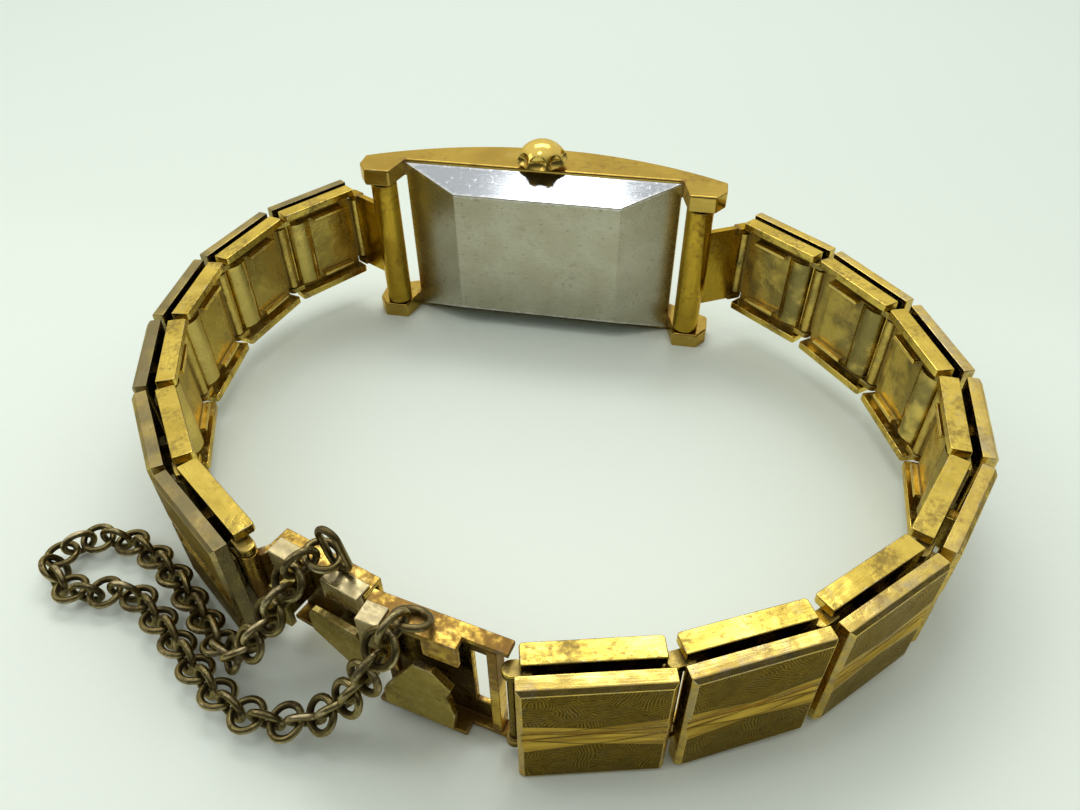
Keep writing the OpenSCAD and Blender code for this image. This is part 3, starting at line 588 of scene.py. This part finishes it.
# Bracelet ends. A drawn tube turns on each spring bar between the lugs. A flat tongue
# with two ears is soldered to it and carries the pin of the first link.
BAR_OUT = 12.4
BAR_DEEP = -3.0
BAND_MIDDLE = 6.9
RIGHT_LIFT = 28
LEFT_LIFT = 152
END_REACH = 4.2
END_ROUNDING = 0.06
END_CELL = 0.5
TUBE_DRAWN = 0.82
TUBE_SWELL = 1.28


def standing(at, heading, flipped=False):
    """The axes of a bracelet piece: X along it from its pin, Y outwards, Z across the band."""
    place = Matrix.Translation(Vector((at[0], at[1], BAND_MIDDLE)) * MM)
    place = place @ Matrix.Rotation(math.radians(heading), 4, "Z")
    return place @ Matrix.Rotation(math.pi, 4, "X") if flipped else place


def numbered(mesh, number):
    """A mesh of its own for one of several like pieces, so that their patterns differ."""
    own = mesh.copy()
    values = [number] * len(own.vertices)
    own.attributes.new("number", "FLOAT", "POINT").data.foreach_set("value", values)
    return own


end_gold = worn_metal("end_gold", fresh=(0.54, 0.35, 0.035), dull=(0.35, 0.215, 0.022),
                      stained=(0.17, 0.09, 0.018), bare=(0.50, 0.36, 0.11),
                      roughness=(0.16, 0.26, 0.2), wear=(0.08, 0.3, 2), tarnish=(1.8, 0.2),
                      bareness=0.05, across=(9, 9, 1), relief=0.005, dents=0.05)
right_end_at = standing((BAR_OUT, BAR_DEEP), RIGHT_LIFT)
left_end_at = standing((-BAR_OUT, BAR_DEEP), LEFT_LIFT)
end_mesh = worn_mesh("end_piece_right", right_end_at, END_ROUNDING, END_CELL)
for vert in end_mesh.vertices:
    if math.hypot(vert.co.x, vert.co.y) < TUBE_DRAWN * MM:
        vert.co.x *= TUBE_SWELL
        vert.co.y *= TUBE_SWELL
for number, (side, place) in enumerate((("right", right_end_at), ("left", left_end_at)), 1):
    end = f"end_{side}"
    fit(end, numbered(end_mesh, number), end_gold, place, f"end_piece_{side}", end)

# Links, inner half. Each is folded from gilt sheet: two rails, a web between them with a
# stiffening plate, and a knuckle rolled round the pin that the link before it holds.
PITCH = 7.1
RIGHT_TURNS = (-68, -12, -20, -22, -22, -20, -17, -13)
LEFT_TURNS = (83, 22, 19, 17, 15, 16)
CHANNEL_ROUNDING = 0.07
CHANNEL_CELL = 0.42
CHANNEL_HALF = 3.38
WEB_DULL = 1
PLATE_BRIGHT = 2
BARREL_BEIGE = 3
UNDER_CAP = 4
FACING = 0.5
RAIL_FACING = 0.7
BARREL_FACING = 0.05
# Near black, painted as the shade of gaps and recesses.
PAINTED_SHADE_TONE = (0.03, 0.019, 0.007, 1)
CLEAN_WEB = (0.56, 0.41, 0.10, 1)
SMOKED_WEB = (0.13, 0.105, 0.05, 1)
PLATE_GOLD = (0.86, 0.64, 0.17, 1)
CLEAN_BARREL = (0.68, 0.51, 0.13, 1)
SMOKED_BARREL = (0.24, 0.19, 0.06, 1)
FAR_HALF = (2.6, 4.2)
# How far the painted shade darkens the faces under the cap.
PAINTED_SHADE_COVER = 0.85
PLATE_SPAN = (1.3, 4.5)
PLATE_DEEP = -0.32
FIRST_CHANNEL = {"right": 4, "left": 21}
BARREL_MIDDLE = 5.45
BARREL_HALF = 1.0
BARREL_HIGH = 0.62
BARREL_SUNK = 0.05
BARREL_SEAM = 0.04
BARREL_END = 2.66
BARREL_STEPS = 14
BARREL_PARTS = 6


def chain_of(start, lift, turns, flipped):
    """The places of the links on one side, each pinned to the end of the one before."""
    heading = lift
    along = math.radians(heading)
    at = Vector(start) + END_REACH * Vector((math.cos(along), math.sin(along)))
    places = []
    for turn in turns:
        heading += turn
        places.append(standing(at, heading, flipped))
        along = math.radians(heading)
        at = at + PITCH * Vector((math.cos(along), math.sin(along)))
    return places, at


def fit_on_links(mesh, material, shape, node, first):
    """Puts a copy of one mesh on each link, with a number of its own."""
    for side, places in link_places.items():
        for count, place in enumerate(places):
            link = f"link_{side}_{count + 1}"
            own = numbered(mesh, first[side] + count)
            fit(f"{link}_{shape}", own, material, place, f"{link}_{node}", link)


def by_side(tree, first, right_side=0.0, left_side=1.0):
    """One value on the links of the right side, and another on those of the left."""
    last_right = first["right"] + len(RIGHT_TURNS) - 1
    return spread(tree, marked(tree, "number"), last_right, first["left"], right_side, left_side)


def fed_by(shader, name):
    """The socket that feeds one of the shader's inputs."""
    return shader.inputs[name].links[0].from_socket


def channel_finish(centre, normal):
    """The finish of a face of the channel, from where it lies and which way it looks. Faces that
    look out under the cap are marked for painted shade.
    """
    if normal.y > FACING:
        return UNDER_CAP
    inside = abs(centre.z) < CHANNEL_HALF
    in_barrel = abs(centre.x - BARREL_MIDDLE) < BARREL_HALF and centre.y < BARREL_SEAM
    if inside and in_barrel and normal.y < -BARREL_FACING:
        return BARREL_BEIGE
    if inside and centre.y < PLATE_DEEP and PLATE_SPAN[0] < centre.x < PLATE_SPAN[1]:
        return PLATE_BRIGHT
    looks_in = normal.y < -FACING or abs(normal.z) > RAIL_FACING
    return WEB_DULL if inside and looks_in else 0


def rolled_barrel(shell):
    """The far end of the channel's inner sheet, rolled into a low barrel across the link."""
    made = []
    rows = []
    for part in range(BARREL_PARTS + 1):
        z = BARREL_END * (2 * part / BARREL_PARTS - 1)
        row = []
        for step in range(BARREL_STEPS + 1):
            turn = math.pi * step / BARREL_STEPS
            x = BARREL_MIDDLE - BARREL_HALF * math.cos(turn)
            y = BARREL_SUNK - (BARREL_HIGH + BARREL_SUNK) * math.sin(turn)
            row.append(shell.verts.new(Vector((x, y, z)) * MM))
        rows.append(row)
    for row, after in zip(rows, rows[1:]):
        for step in range(BARREL_STEPS):
            made.append(shell.faces.new((row[step], row[step + 1], after[step + 1], after[step])))
        made.append(shell.faces.new((row[0], after[0], after[-1], row[-1])))
    made.append(shell.faces.new(rows[0]))
    made.append(shell.faces.new(rows[-1]))
    bmesh.ops.recalc_face_normals(shell, faces=made)


right_places, _ = chain_of((BAR_OUT, BAR_DEEP), RIGHT_LIFT, RIGHT_TURNS, False)
left_places, left_last = chain_of((-BAR_OUT, BAR_DEEP), LEFT_LIFT, LEFT_TURNS, True)
link_places = {"right": right_places, "left": left_places}
inner_gold = worn_metal("link_inner_gold", fresh=(0.82, 0.60, 0.12), dull=(0.52, 0.37, 0.065),
                        stained=(0.19, 0.125, 0.035), bare=(0.54, 0.45, 0.23),
                        roughness=(0.12, 0.24, 0.2), wear=(0.06, 0.4, 2.2), tarnish=(1.3, 0.4),
                        bareness=0.15, across=(0.8, 9, 9), relief=0.008, dents=0.11)
tree = inner_gold.node_tree
shader = tree.nodes["Principled BSDF"]
web = finish_is(tree, WEB_DULL)
on_piece = use(tree, spot)
far_half = spread(tree, coordinate(tree, on_piece["Place"], "X"), *FAR_HALF)
smear = sum_of(tree, noise(tree, on_piece["Point"], 0.55, 4), sum_of(tree, far_half, 0.12, "MULTIPLY"))
smoky = sum_of(tree, spread(tree, smear, 0.42, 0.66), by_side(tree, FIRST_CHANNEL, 1, 0.4),
               "MULTIPLY")
metal_colour = fed_by(shader, "Base Color")
smoked = between(tree, smoky, CLEAN_WEB, SMOKED_WEB)
smoked = between(tree, 0.65, metal_colour, smoked)
beige = between(tree, smoky, CLEAN_BARREL, SMOKED_BARREL)
colour = between(tree, web, metal_colour, smoked)
colour = between(tree, finish_is(tree, PLATE_BRIGHT), colour, PLATE_GOLD)
colour = between(tree, finish_is(tree, BARREL_BEIGE), colour, beige)
# Faces that look out under the cap are mixed almost to black: painted shade of the gap between channel
# and cap.
grime_and_painted_shade = sum_of(tree, finish_is(tree, UNDER_CAP), PAINTED_SHADE_COVER, "MULTIPLY")
colour = between(tree, grime_and_painted_shade, colour, PAINTED_SHADE_TONE)
rough = sum_of(tree, fed_by(shader, "Roughness"), sum_of(tree, web, 0.08, "MULTIPLY"))
feed(tree, shader, {"Base Color": colour, "Roughness": rough})
channel_mesh = worn_mesh("link_right_1_frame", right_places[0], CHANNEL_ROUNDING, CHANNEL_CELL,
                         finish_and_shade=channel_finish, extra=rolled_barrel)
fit_on_links(channel_mesh, inner_gold, "channel", "frame", FIRST_CHANNEL)

# Links, outer half. A shallow tray of sheet is pinned over each channel. Its face is
# hatched by hand in small patches, and two crossing grooves are cut bright across it.
CAP_ROUNDING = 0.05
CAP_CELL = 0.5
CAP_SMOOTH_TO = 5
HATCHED = 1
BRIGHT_CUT = 2
UNDERSIDE = 3
FACE_FLAT = 0.999
CUT_SLOPE = 0.95
GROOVE_LEANS = (0.088, 0.15)
GROOVE_HALF = 0.72
GROOVE_FADE = 0.03
LINE_HALF = 0.07
FIRST_CAP = {"right": 41, "left": 61}
HATCH_PATCH = 1.05
HATCH_FINE = 42
SILVERY = (0.225, 0.185, 0.092, 1)
GOLD_RIDGES = ((0.25, 0.162, 0.02, 1), (0.185, 0.12, 0.017, 1))
GOLD_FURROW = (0.06, 0.035, 0.004, 1)
GREY_RIDGE = (0.19, 0.139, 0.036, 1)
GREY_FURROW = (0.05, 0.035, 0.009, 1)
CUT_LIGHT = (0.62, 0.41, 0.065, 1)
CUT_DARK = (0.33, 0.20, 0.03, 1)
SCORED_DARK = (0.09, 0.055, 0.015, 1)


def cap_finish(centre, normal):
    """The finish of a face of the cap, from which way it looks. Its underside is marked for
    painted shade.
    """
    if normal.y < -FACING:
        return UNDERSIDE
    if normal.y > FACE_FLAT:
        return HATCHED
    return BRIGHT_CUT if normal.y > CUT_SLOPE else 0


# Hatching. Short strokes of the graver that keep one direction in each patch.
hatching, given, gives = effect(
    "hatching",
    [("Point", "Vector", (0, 0, 0)), ("Patch", "Float", 1), ("Fine", "Float", 30)],
    [("Stroke", "Float"), ("Tone", "Float")])
wander = put(hatching, "TexNoise", {"Vector": given["Point"], "Scale": 0.9, "Detail": 1})
drift = put(hatching, "VectorMath", {0: wander.outputs["Color"], 1: (0.5, 0.5, 0.5)},
            operation="SUBTRACT").outputs[0]
drift = put(hatching, "VectorMath", {0: drift, "Scale": 0.5}, operation="SCALE").outputs[0]
bent = put(hatching, "VectorMath", {0: given["Point"], 1: drift}).outputs[0]
patches = put(hatching, "TexVoronoi", {"Vector": bent, "Scale": given["Patch"]})
swing = put(hatching, "SeparateColor", {0: patches.outputs["Color"]})
angle = sum_of(hatching, swing.outputs["Red"], math.pi, "MULTIPLY")
turned = put(hatching, "VectorRotate", {"Vector": bent, "Angle": angle}, rotation_type="Y_AXIS")
across = coordinate(hatching, turned.outputs[0], "Z")
uneven = noise(hatching, given["Point"], 2.6, 2)
phase = sum_of(hatching, sum_of(hatching, across, given["Fine"], "MULTIPLY"),
               sum_of(hatching, uneven, 4, "MULTIPLY"))
ripple = sum_of(hatching, phase, 0, "SINE")
pressed = sum_of(hatching, ripple, spread(hatching, uneven, 0.35, 0.6, -0.3, 0.3))
feed(hatching, gives, {"Stroke": spread(hatching, pressed, -0.8, 0.9),
                       "Tone": swing.outputs["Green"]})


def grooves(tree, place, cut):
    """The bright band of the two crossing grooves, and the lines scored along them."""
    across = coordinate(tree, place, "Z")
    from_middle = sum_of(tree, coordinate(tree, place, "X"), PITCH / 2, "SUBTRACT")
    inner_lean, outer_lean = GROOVE_LEANS
    band = cut
    lines = 0
    for lean in (-inner_lean, inner_lean, -outer_lean, outer_lean):
        aside = sum_of(tree, across, sum_of(tree, from_middle, lean, "MULTIPLY"), "SUBTRACT")
        aside = sum_of(tree, aside, 0, "ABSOLUTE")
        if abs(lean) == outer_lean:
            arm = spread(tree, aside, GROOVE_HALF + GROOVE_FADE, GROOVE_HALF - GROOVE_FADE)
            band = sum_of(tree, band, arm, "MAXIMUM")
            aside = sum_of(tree, sum_of(tree, aside, GROOVE_HALF, "SUBTRACT"), 0, "ABSOLUTE")
        line = spread(tree, aside, LINE_HALF, 0.2 * LINE_HALF)
        lines = sum_of(tree, lines, line, "MAXIMUM")
    return band, lines


cap_gold = worn_metal("link_cap_gold", fresh=(0.84, 0.62, 0.15), dull=(0.56, 0.40, 0.09),
                      stained=(0.27, 0.165, 0.055), bare=(0.48, 0.40, 0.235),
                      roughness=(0.12, 0.24, 0.18), wear=(0.06, 0.4, 2.2), tarnish=(1.6, 0.34),
                      bareness=0.5, across=(0.7, 10, 10), relief=0.008, dents=0.14)
tree = cap_gold.node_tree
shader = tree.nodes["Principled BSDF"]
on_piece = use(tree, spot)
point = on_piece["Point"]
hatch = use(tree, hatching, {"Point": point, "Patch": HATCH_PATCH, "Fine": HATCH_FINE})
cut_face = finish_is(tree, BRIGHT_CUT)
on_face = sum_of(tree, finish_is(tree, HATCHED), cut_face)
band, lines = grooves(tree, on_piece["Place"], cut_face)
bright = sum_of(tree, band, on_face, "MULTIPLY")
hatched = sum_of(tree, on_face, bright, "SUBTRACT")

# The caps on the left have lost more of their gold, which leaves them silvery.
silvered = sum_of(tree, spread(tree, noise(tree, point, 0.35, 3), 0.3, 0.6, 0.45, 1),
                  by_side(tree, FIRST_CAP), "MULTIPLY")
metal_colour = between(tree, silvered, fed_by(shader, "Base Color"), SILVERY)
metal_rough = sum_of(tree, fed_by(shader, "Roughness"), sum_of(tree, silvered, 0.1, "MULTIPLY"))

# The strokes are gold, and grey where the gold has worn off them.
stroke = hatch["Stroke"]
gold_ridge = between(tree, hatch["Tone"], *GOLD_RIDGES)
gold_strokes = between(tree, stroke, GOLD_FURROW, gold_ridge)
grey_strokes = between(tree, stroke, GREY_FURROW, GREY_RIDGE)
worn_patch = use(tree, tarnishing, {"Point": point, "Grain": 0.22, "Cover": 0.5})["Stain"]
worn_rim = use(tree, rubbing, {"Point": point, "Reach": 0.12, "Ragged": 0.5, "Grain": 2.2})["Worn"]
worn_strokes = sum_of(tree, sum_of(tree, worn_patch, 0.6, "MULTIPLY"), worn_rim, "MAXIMUM")
strokes = between(tree, worn_strokes, gold_strokes, grey_strokes)

streak = use(tree, brushing, {"Point": point, "Across": (0.3, 2, 4)})["Line"]
cut_tone = between(tree, spread(tree, streak, 0.35, 0.65), CUT_LIGHT, CUT_DARK)
scored = sum_of(tree, sum_of(tree, lines, on_face, "MULTIPLY"), 0.8, "MULTIPLY")
# The underside of the tray is mixed almost to black: painted shade of the gap under the cap.
grime_and_painted_shade = sum_of(tree, finish_is(tree, UNDERSIDE), PAINTED_SHADE_COVER, "MULTIPLY")
colour = between(tree, hatched, metal_colour, strokes)
colour = between(tree, bright, colour, cut_tone)
colour = between(tree, scored, colour, SCORED_DARK)
colour = between(tree, grime_and_painted_shade, colour, PAINTED_SHADE_TONE)
rough = sum_of(tree, metal_rough, spread(tree, hatched, 0, 1, 0, 0.14))
rough = sum_of(tree, rough, spread(tree, bright, 0, 1, 0, -0.06))
carved = bumped(tree, sum_of(tree, stroke, hatched, "MULTIPLY"), 0.8, 0.02,
                Normal=fed_by(shader, "Normal"))
feed(tree, shader, {"Base Color": colour, "Roughness": rough, "Normal": carved})
cap_mesh = worn_mesh("link_right_1_cap", right_places[0], CAP_ROUNDING, CAP_CELL,
                     finish_and_shade=cap_finish, smooth_to=CAP_SMOOTH_TO)
fit_on_links(cap_mesh, cap_gold, "tray", "cap", FIRST_CAP)

# Clasp. Two folded channels, one with a hook that drops into the other's window. Nickel
# plates are riveted on them, and small nickel tabs are folded over their upper edges.
HOOK_HEADING = -20.15
KNEE = (-1.11, -39.71)
LADDER_HEADING = -12.2
CLASP_ROUNDING = 0.06
CLASP_CELL = 0.4
TAB_FROM = (1.75, 1.95)
SUNK = 1
WEB_DEEP = 0.5
FIRST_CLASP_PIECE = 80
PALE_TAB = (0.64, 0.55, 0.34, 1)


def clasp_finish(centre, normal):
    """Marks the sunken web, which is painted dark as shade inside the channel."""
    return SUNK if normal.y < -FACING and centre.y > WEB_DEEP else 0


hook_at = standing(left_last, HOOK_HEADING)
ladder_at = standing(KNEE, LADDER_HEADING)
clasp_gold = worn_metal("clasp_gold", fresh=(0.74, 0.52, 0.10), dull=(0.44, 0.27, 0.05),
                        stained=(0.13, 0.055, 0.014), bare=(0.54, 0.44, 0.23),
                        roughness=(0.14, 0.28, 0.22), wear=(0.07, 0.5, 2), tarnish=(1.7, 0.72),
                        bareness=0.2, across=(0.8, 8, 8), relief=0.01, dents=0.15)
tree = clasp_gold.node_tree
shader = tree.nodes["Principled BSDF"]
# The sunken web is mixed towards near black: painted shade inside the channel.
grime_and_painted_shade = sum_of(tree, finish_is(tree, SUNK), 0.75, "MULTIPLY")
feed(tree, shader, {"Base Color": between(tree, grime_and_painted_shade, fed_by(shader, "Base Color"), PAINTED_SHADE_TONE)})
clasp_nickel = worn_metal("clasp_nickel", fresh=(0.41, 0.325, 0.095), dull=(0.26, 0.20, 0.052),
                          stained=(0.125, 0.082, 0.02), bare=(0.62, 0.52, 0.28),
                          roughness=(0.2, 0.34, 0.18), wear=(0.09, 0.5, 2), tarnish=(1.4, 0.35),
                          bareness=0.2, across=(2.5, 2.5, 9), relief=0.01, dents=0.16)
tree = clasp_nickel.node_tree
shader = tree.nodes["Principled BSDF"]
tab = spread(tree, coordinate(tree, use(tree, spot)["Place"], "Z"), *TAB_FROM, 0, 0.5)
feed(tree, shader, {"Base Color": between(tree, tab, fed_by(shader, "Base Color"), PALE_TAB)})
for number, (node, place, material, slot) in enumerate((
        ("clasp_hook", hook_at, clasp_gold, "clasp_gold"),
        ("clasp_hook_plate", hook_at, clasp_nickel, "clasp_nickel"),
        ("clasp_ladder", ladder_at, clasp_gold, "clasp_gold"),
        ("clasp_ladder_plate", ladder_at, clasp_nickel, "clasp_nickel")), FIRST_CLASP_PIECE):
    mesh = worn_mesh(node, place, CLASP_ROUNDING, CLASP_CELL, finish_and_shade=clasp_finish)
    fit(node + "_folded", numbered(mesh, number), material, place, node, "clasp")

# Safety chain. Rings of drawn wire, bent round and soldered shut, each threaded through
# the next. The brass has darkened, and only the outside of each ring is rubbed light; that light band
# is also a painted highlight.
WIRE = 0.188
RING_RADIUS = 0.82
RING_STEPS = 40
WIRE_STEPS = 14
SOLDER_SWELL = 0.05
SOLDER_SHORT = 12
RING_NUMBER_STEP = 0.37


def ring_places(mesh):
    """The axes of each ring, read from the separate solids of the chain's node."""
    owner = list(range(len(mesh.vertices)))

    def root(index):
        while owner[index] != index:
            owner[index] = owner[owner[index]]
            index = owner[index]
        return index

    for one, other in mesh.edge_keys:
        owner[root(one)] = root(other)
    members = {}
    for vert in mesh.vertices:
        members.setdefault(root(vert.index), []).append(vert.co.copy())
    places = []
    for points in members.values():
        centre = sum(points, Vector((0, 0, 0))) / len(points)
        spokes = [point - centre for point in points]
        first = max(spokes, key=lambda spoke: spoke.length)
        second = max(spokes, key=lambda spoke: first.cross(spoke).length)
        axis = first.cross(second).normalized()
        turn = Vector((0, 0, 1)).rotation_difference(axis).to_matrix().to_4x4()
        places.append(Matrix.Translation(centre) @ turn)
    return places


shell = bmesh.new()
edge_layer = shell.verts.layers.float.new("edge")
nook_layer = shell.verts.layers.float.new("nook")
number_layer = shell.verts.layers.float.new("number")
for number, place in enumerate(ring_places(nodes["safety_chain"].data)):
    grid = []
    for step in range(RING_STEPS):
        turn = 2 * math.pi * step / RING_STEPS
        wire = WIRE * (1 + SOLDER_SWELL * max(0, math.cos(turn)) ** SOLDER_SHORT)
        row = []
        for part in range(WIRE_STEPS):
            bend = 2 * math.pi * part / WIRE_STEPS
            out = RING_RADIUS + wire * math.cos(bend)
            at = Vector((out * math.cos(turn), out * math.sin(turn), wire * math.sin(bend)))
            vert = shell.verts.new(place @ (at * MM))
            # Wear on the outside of the wire, which also stands as a painted highlight.
            vert[edge_layer] = 0.5 - 0.5 * math.cos(bend)
            vert[nook_layer] = 0.5 + 0.5 * math.cos(bend)
            vert[number_layer] = number * RING_NUMBER_STEP
            row.append(vert)
        grid.append(row)
    for step in range(RING_STEPS):
        row = grid[step]
        after = grid[(step + 1) % RING_STEPS]
        for part in range(WIRE_STEPS):
            beside = (part + 1) % WIRE_STEPS
            shell.faces.new((row[part], after[part], after[beside], row[beside]))
shell.normal_update()
chain_mesh = smooth_mesh("chain_rings", shell)
# The bare tone is rubbed brass, and it also lifts the rings' painted highlights.
chain_brass = worn_metal("chain_brass", fresh=(0.22, 0.175, 0.07), dull=(0.125, 0.096, 0.036),
                         stained=(0.03, 0.02, 0.008), bare=(0.52, 0.43, 0.24),
                         roughness=(0.22, 0.36, 0.2), wear=(0.24, 0.5, 2.5), tarnish=(1, 0.45),
                         bareness=0.1, across=(5, 5, 5), relief=0.01, dents=0.02)
fit("chain_rings", chain_mesh, chain_brass, AS_IS, "safety_chain", "clasp")
ear_brass = plain_metal("ear_brass", bright=(0.21, 0.16, 0.065), dull=(0.10, 0.074, 0.028),
                        roughness=0.3, across=(6, 6, 6), relief=0.012)
clothe("chain_ear_hook", ear_brass)
clothe("chain_ear_ladder", ear_brass)

# Table top. A smooth pale sheet. It rises towards the clasp, because the watch rests on
# the side of its case and on the lower edge of its narrower bracelet.
FLOOR_SLOPE = 0.075
FLOOR_RISES = (-50, 8)
FLOOR_LEVEL_AT = -2
FLOOR_UNDER = 0.02
FLOOR_HALF = 400
FLOOR_MIDDLE = -20
FLOOR_STEPS = 60
PAPER_TONES = ((0.87, 0.935, 0.85, 1), (0.77, 0.855, 0.77, 1))
PAPER_FROM = (-70, 60)


def floor_height(y):
    """The height of the sheet, which slopes under the watch and is level further out."""
    held = min(max(y, FLOOR_RISES[0]), FLOOR_RISES[1])
    return -FLOOR_SLOPE * (held - FLOOR_LEVEL_AT) - FLOOR_UNDER


sheet = bmesh.new()
rows = []
for step in range(-FLOOR_STEPS, FLOOR_STEPS + 1):
    y = step ** 3 / (FLOOR_STEPS ** 3 / FLOOR_HALF) + FLOOR_MIDDLE
    height = floor_height(y) * MM
    rows.append([sheet.verts.new((x * MM, y * MM, height)) for x in (-FLOOR_HALF, FLOOR_HALF)])
for near, far in zip(rows, rows[1:]):
    sheet.faces.new((near[0], near[1], far[1], far[0]))
floor_mesh = smooth_mesh("floor", sheet)
floor = bpy.data.objects.new("floor", floor_mesh)
bpy.context.scene.collection.objects.link(floor)
paper, tree, shader = new_material("paper")
point = use(tree, spot)["Point"]
distance = spread(tree, coordinate(tree, point, "Y"), *PAPER_FROM)
colour = between(tree, distance, *PAPER_TONES)
feed(tree, shader, {"Base Color": colour, "Roughness": 0.6, "Specular IOR Level": 0.2,
                    "Normal": bumped(tree, noise(tree, point, 1.3, 2), 0.5, 0.05)})
floor_mesh.materials.append(paper)

# Camera and lights. The camera looks down at the clasp from the front. Large soft lamps
# hang to the left and behind, a smaller one hangs overhead, and the room darkens downwards.
CAMERA_AT = (11.1, -59.1, 41.9)
CAMERA_TURN = 11.2
CAMERA_DOWN = 41.9
CAMERA_ROLL = -0.65
CAMERA_LENS = 27.03
camera_data = bpy.data.cameras.new("camera")
camera_data.sensor_width = 36
camera_data.lens = CAMERA_LENS
camera_data.clip_start = 0.001
camera_data.clip_end = 10
camera = bpy.data.objects.new("camera", camera_data)
bpy.context.scene.collection.objects.link(camera)
turn = Matrix.Rotation(math.radians(CAMERA_TURN), 4, "Z")
tip = Matrix.Rotation(math.radians(90 - CAMERA_DOWN), 4, "X")
roll = Matrix.Rotation(math.radians(CAMERA_ROLL), 4, "Z")
camera.matrix_world = Matrix.Translation(Vector(CAMERA_AT) * MM) @ turn @ tip @ roll
bpy.context.scene.camera = camera

BRIGHT_SIDE = (-0.15, 0.55, 0.82)
SKY_DARK = (0.07, 0.072, 0.065, 1)
SKY_BRIGHT = (0.99, 1.01, 0.98, 1)
SEEN_BEYOND = (0.76, 0.85, 0.77, 1)
room = bpy.data.worlds.new("room")
bpy.context.scene.world = room
room.use_nodes = True
tree = room.node_tree
towards = put(tree, "TexCoord").outputs["Generated"]
facing = put(tree, "VectorMath", {0: towards, 1: BRIGHT_SIDE}, operation="DOT_PRODUCT")
sky = between(tree, spread(tree, facing.outputs["Value"], -0.1, 0.85), SKY_DARK, SKY_BRIGHT)
seen = put(tree, "LightPath").outputs["Is Camera Ray"]
feed(tree, tree.nodes["Background"], {"Color": between(tree, seen, sky, SEEN_BEYOND)})

LAMPS_AIM = Vector((0, -20, 5))


def soft_lamp(name, at, size, power):
    """A soft rectangular lamp that hangs at a place and shines on the middle of the bracelet."""
    lamp = bpy.data.lights.new(name, "AREA")
    lamp.shape = "RECTANGLE"
    lamp.size = size[0] * MM
    lamp.size_y = size[1] * MM
    lamp.energy = power
    holder = bpy.data.objects.new(name, lamp)
    bpy.context.scene.collection.objects.link(holder)
    holder.location = Vector(at) * MM
    holder.rotation_euler = (LAMPS_AIM - Vector(at)).to_track_quat("-Z", "Y").to_euler()


soft_lamp("lamp_behind", at=(-20, 120, 215), size=(170, 70), power=0.14)
soft_lamp("lamp_left", at=(-190, -70, 170), size=(120, 120), power=0.055)
soft_lamp("lamp_over", at=(-24, -28, 200), size=(26, 34), power=0.018)

bpy.context.scene.view_settings.view_transform = "Standard"
bpy.context.view_layer.update()
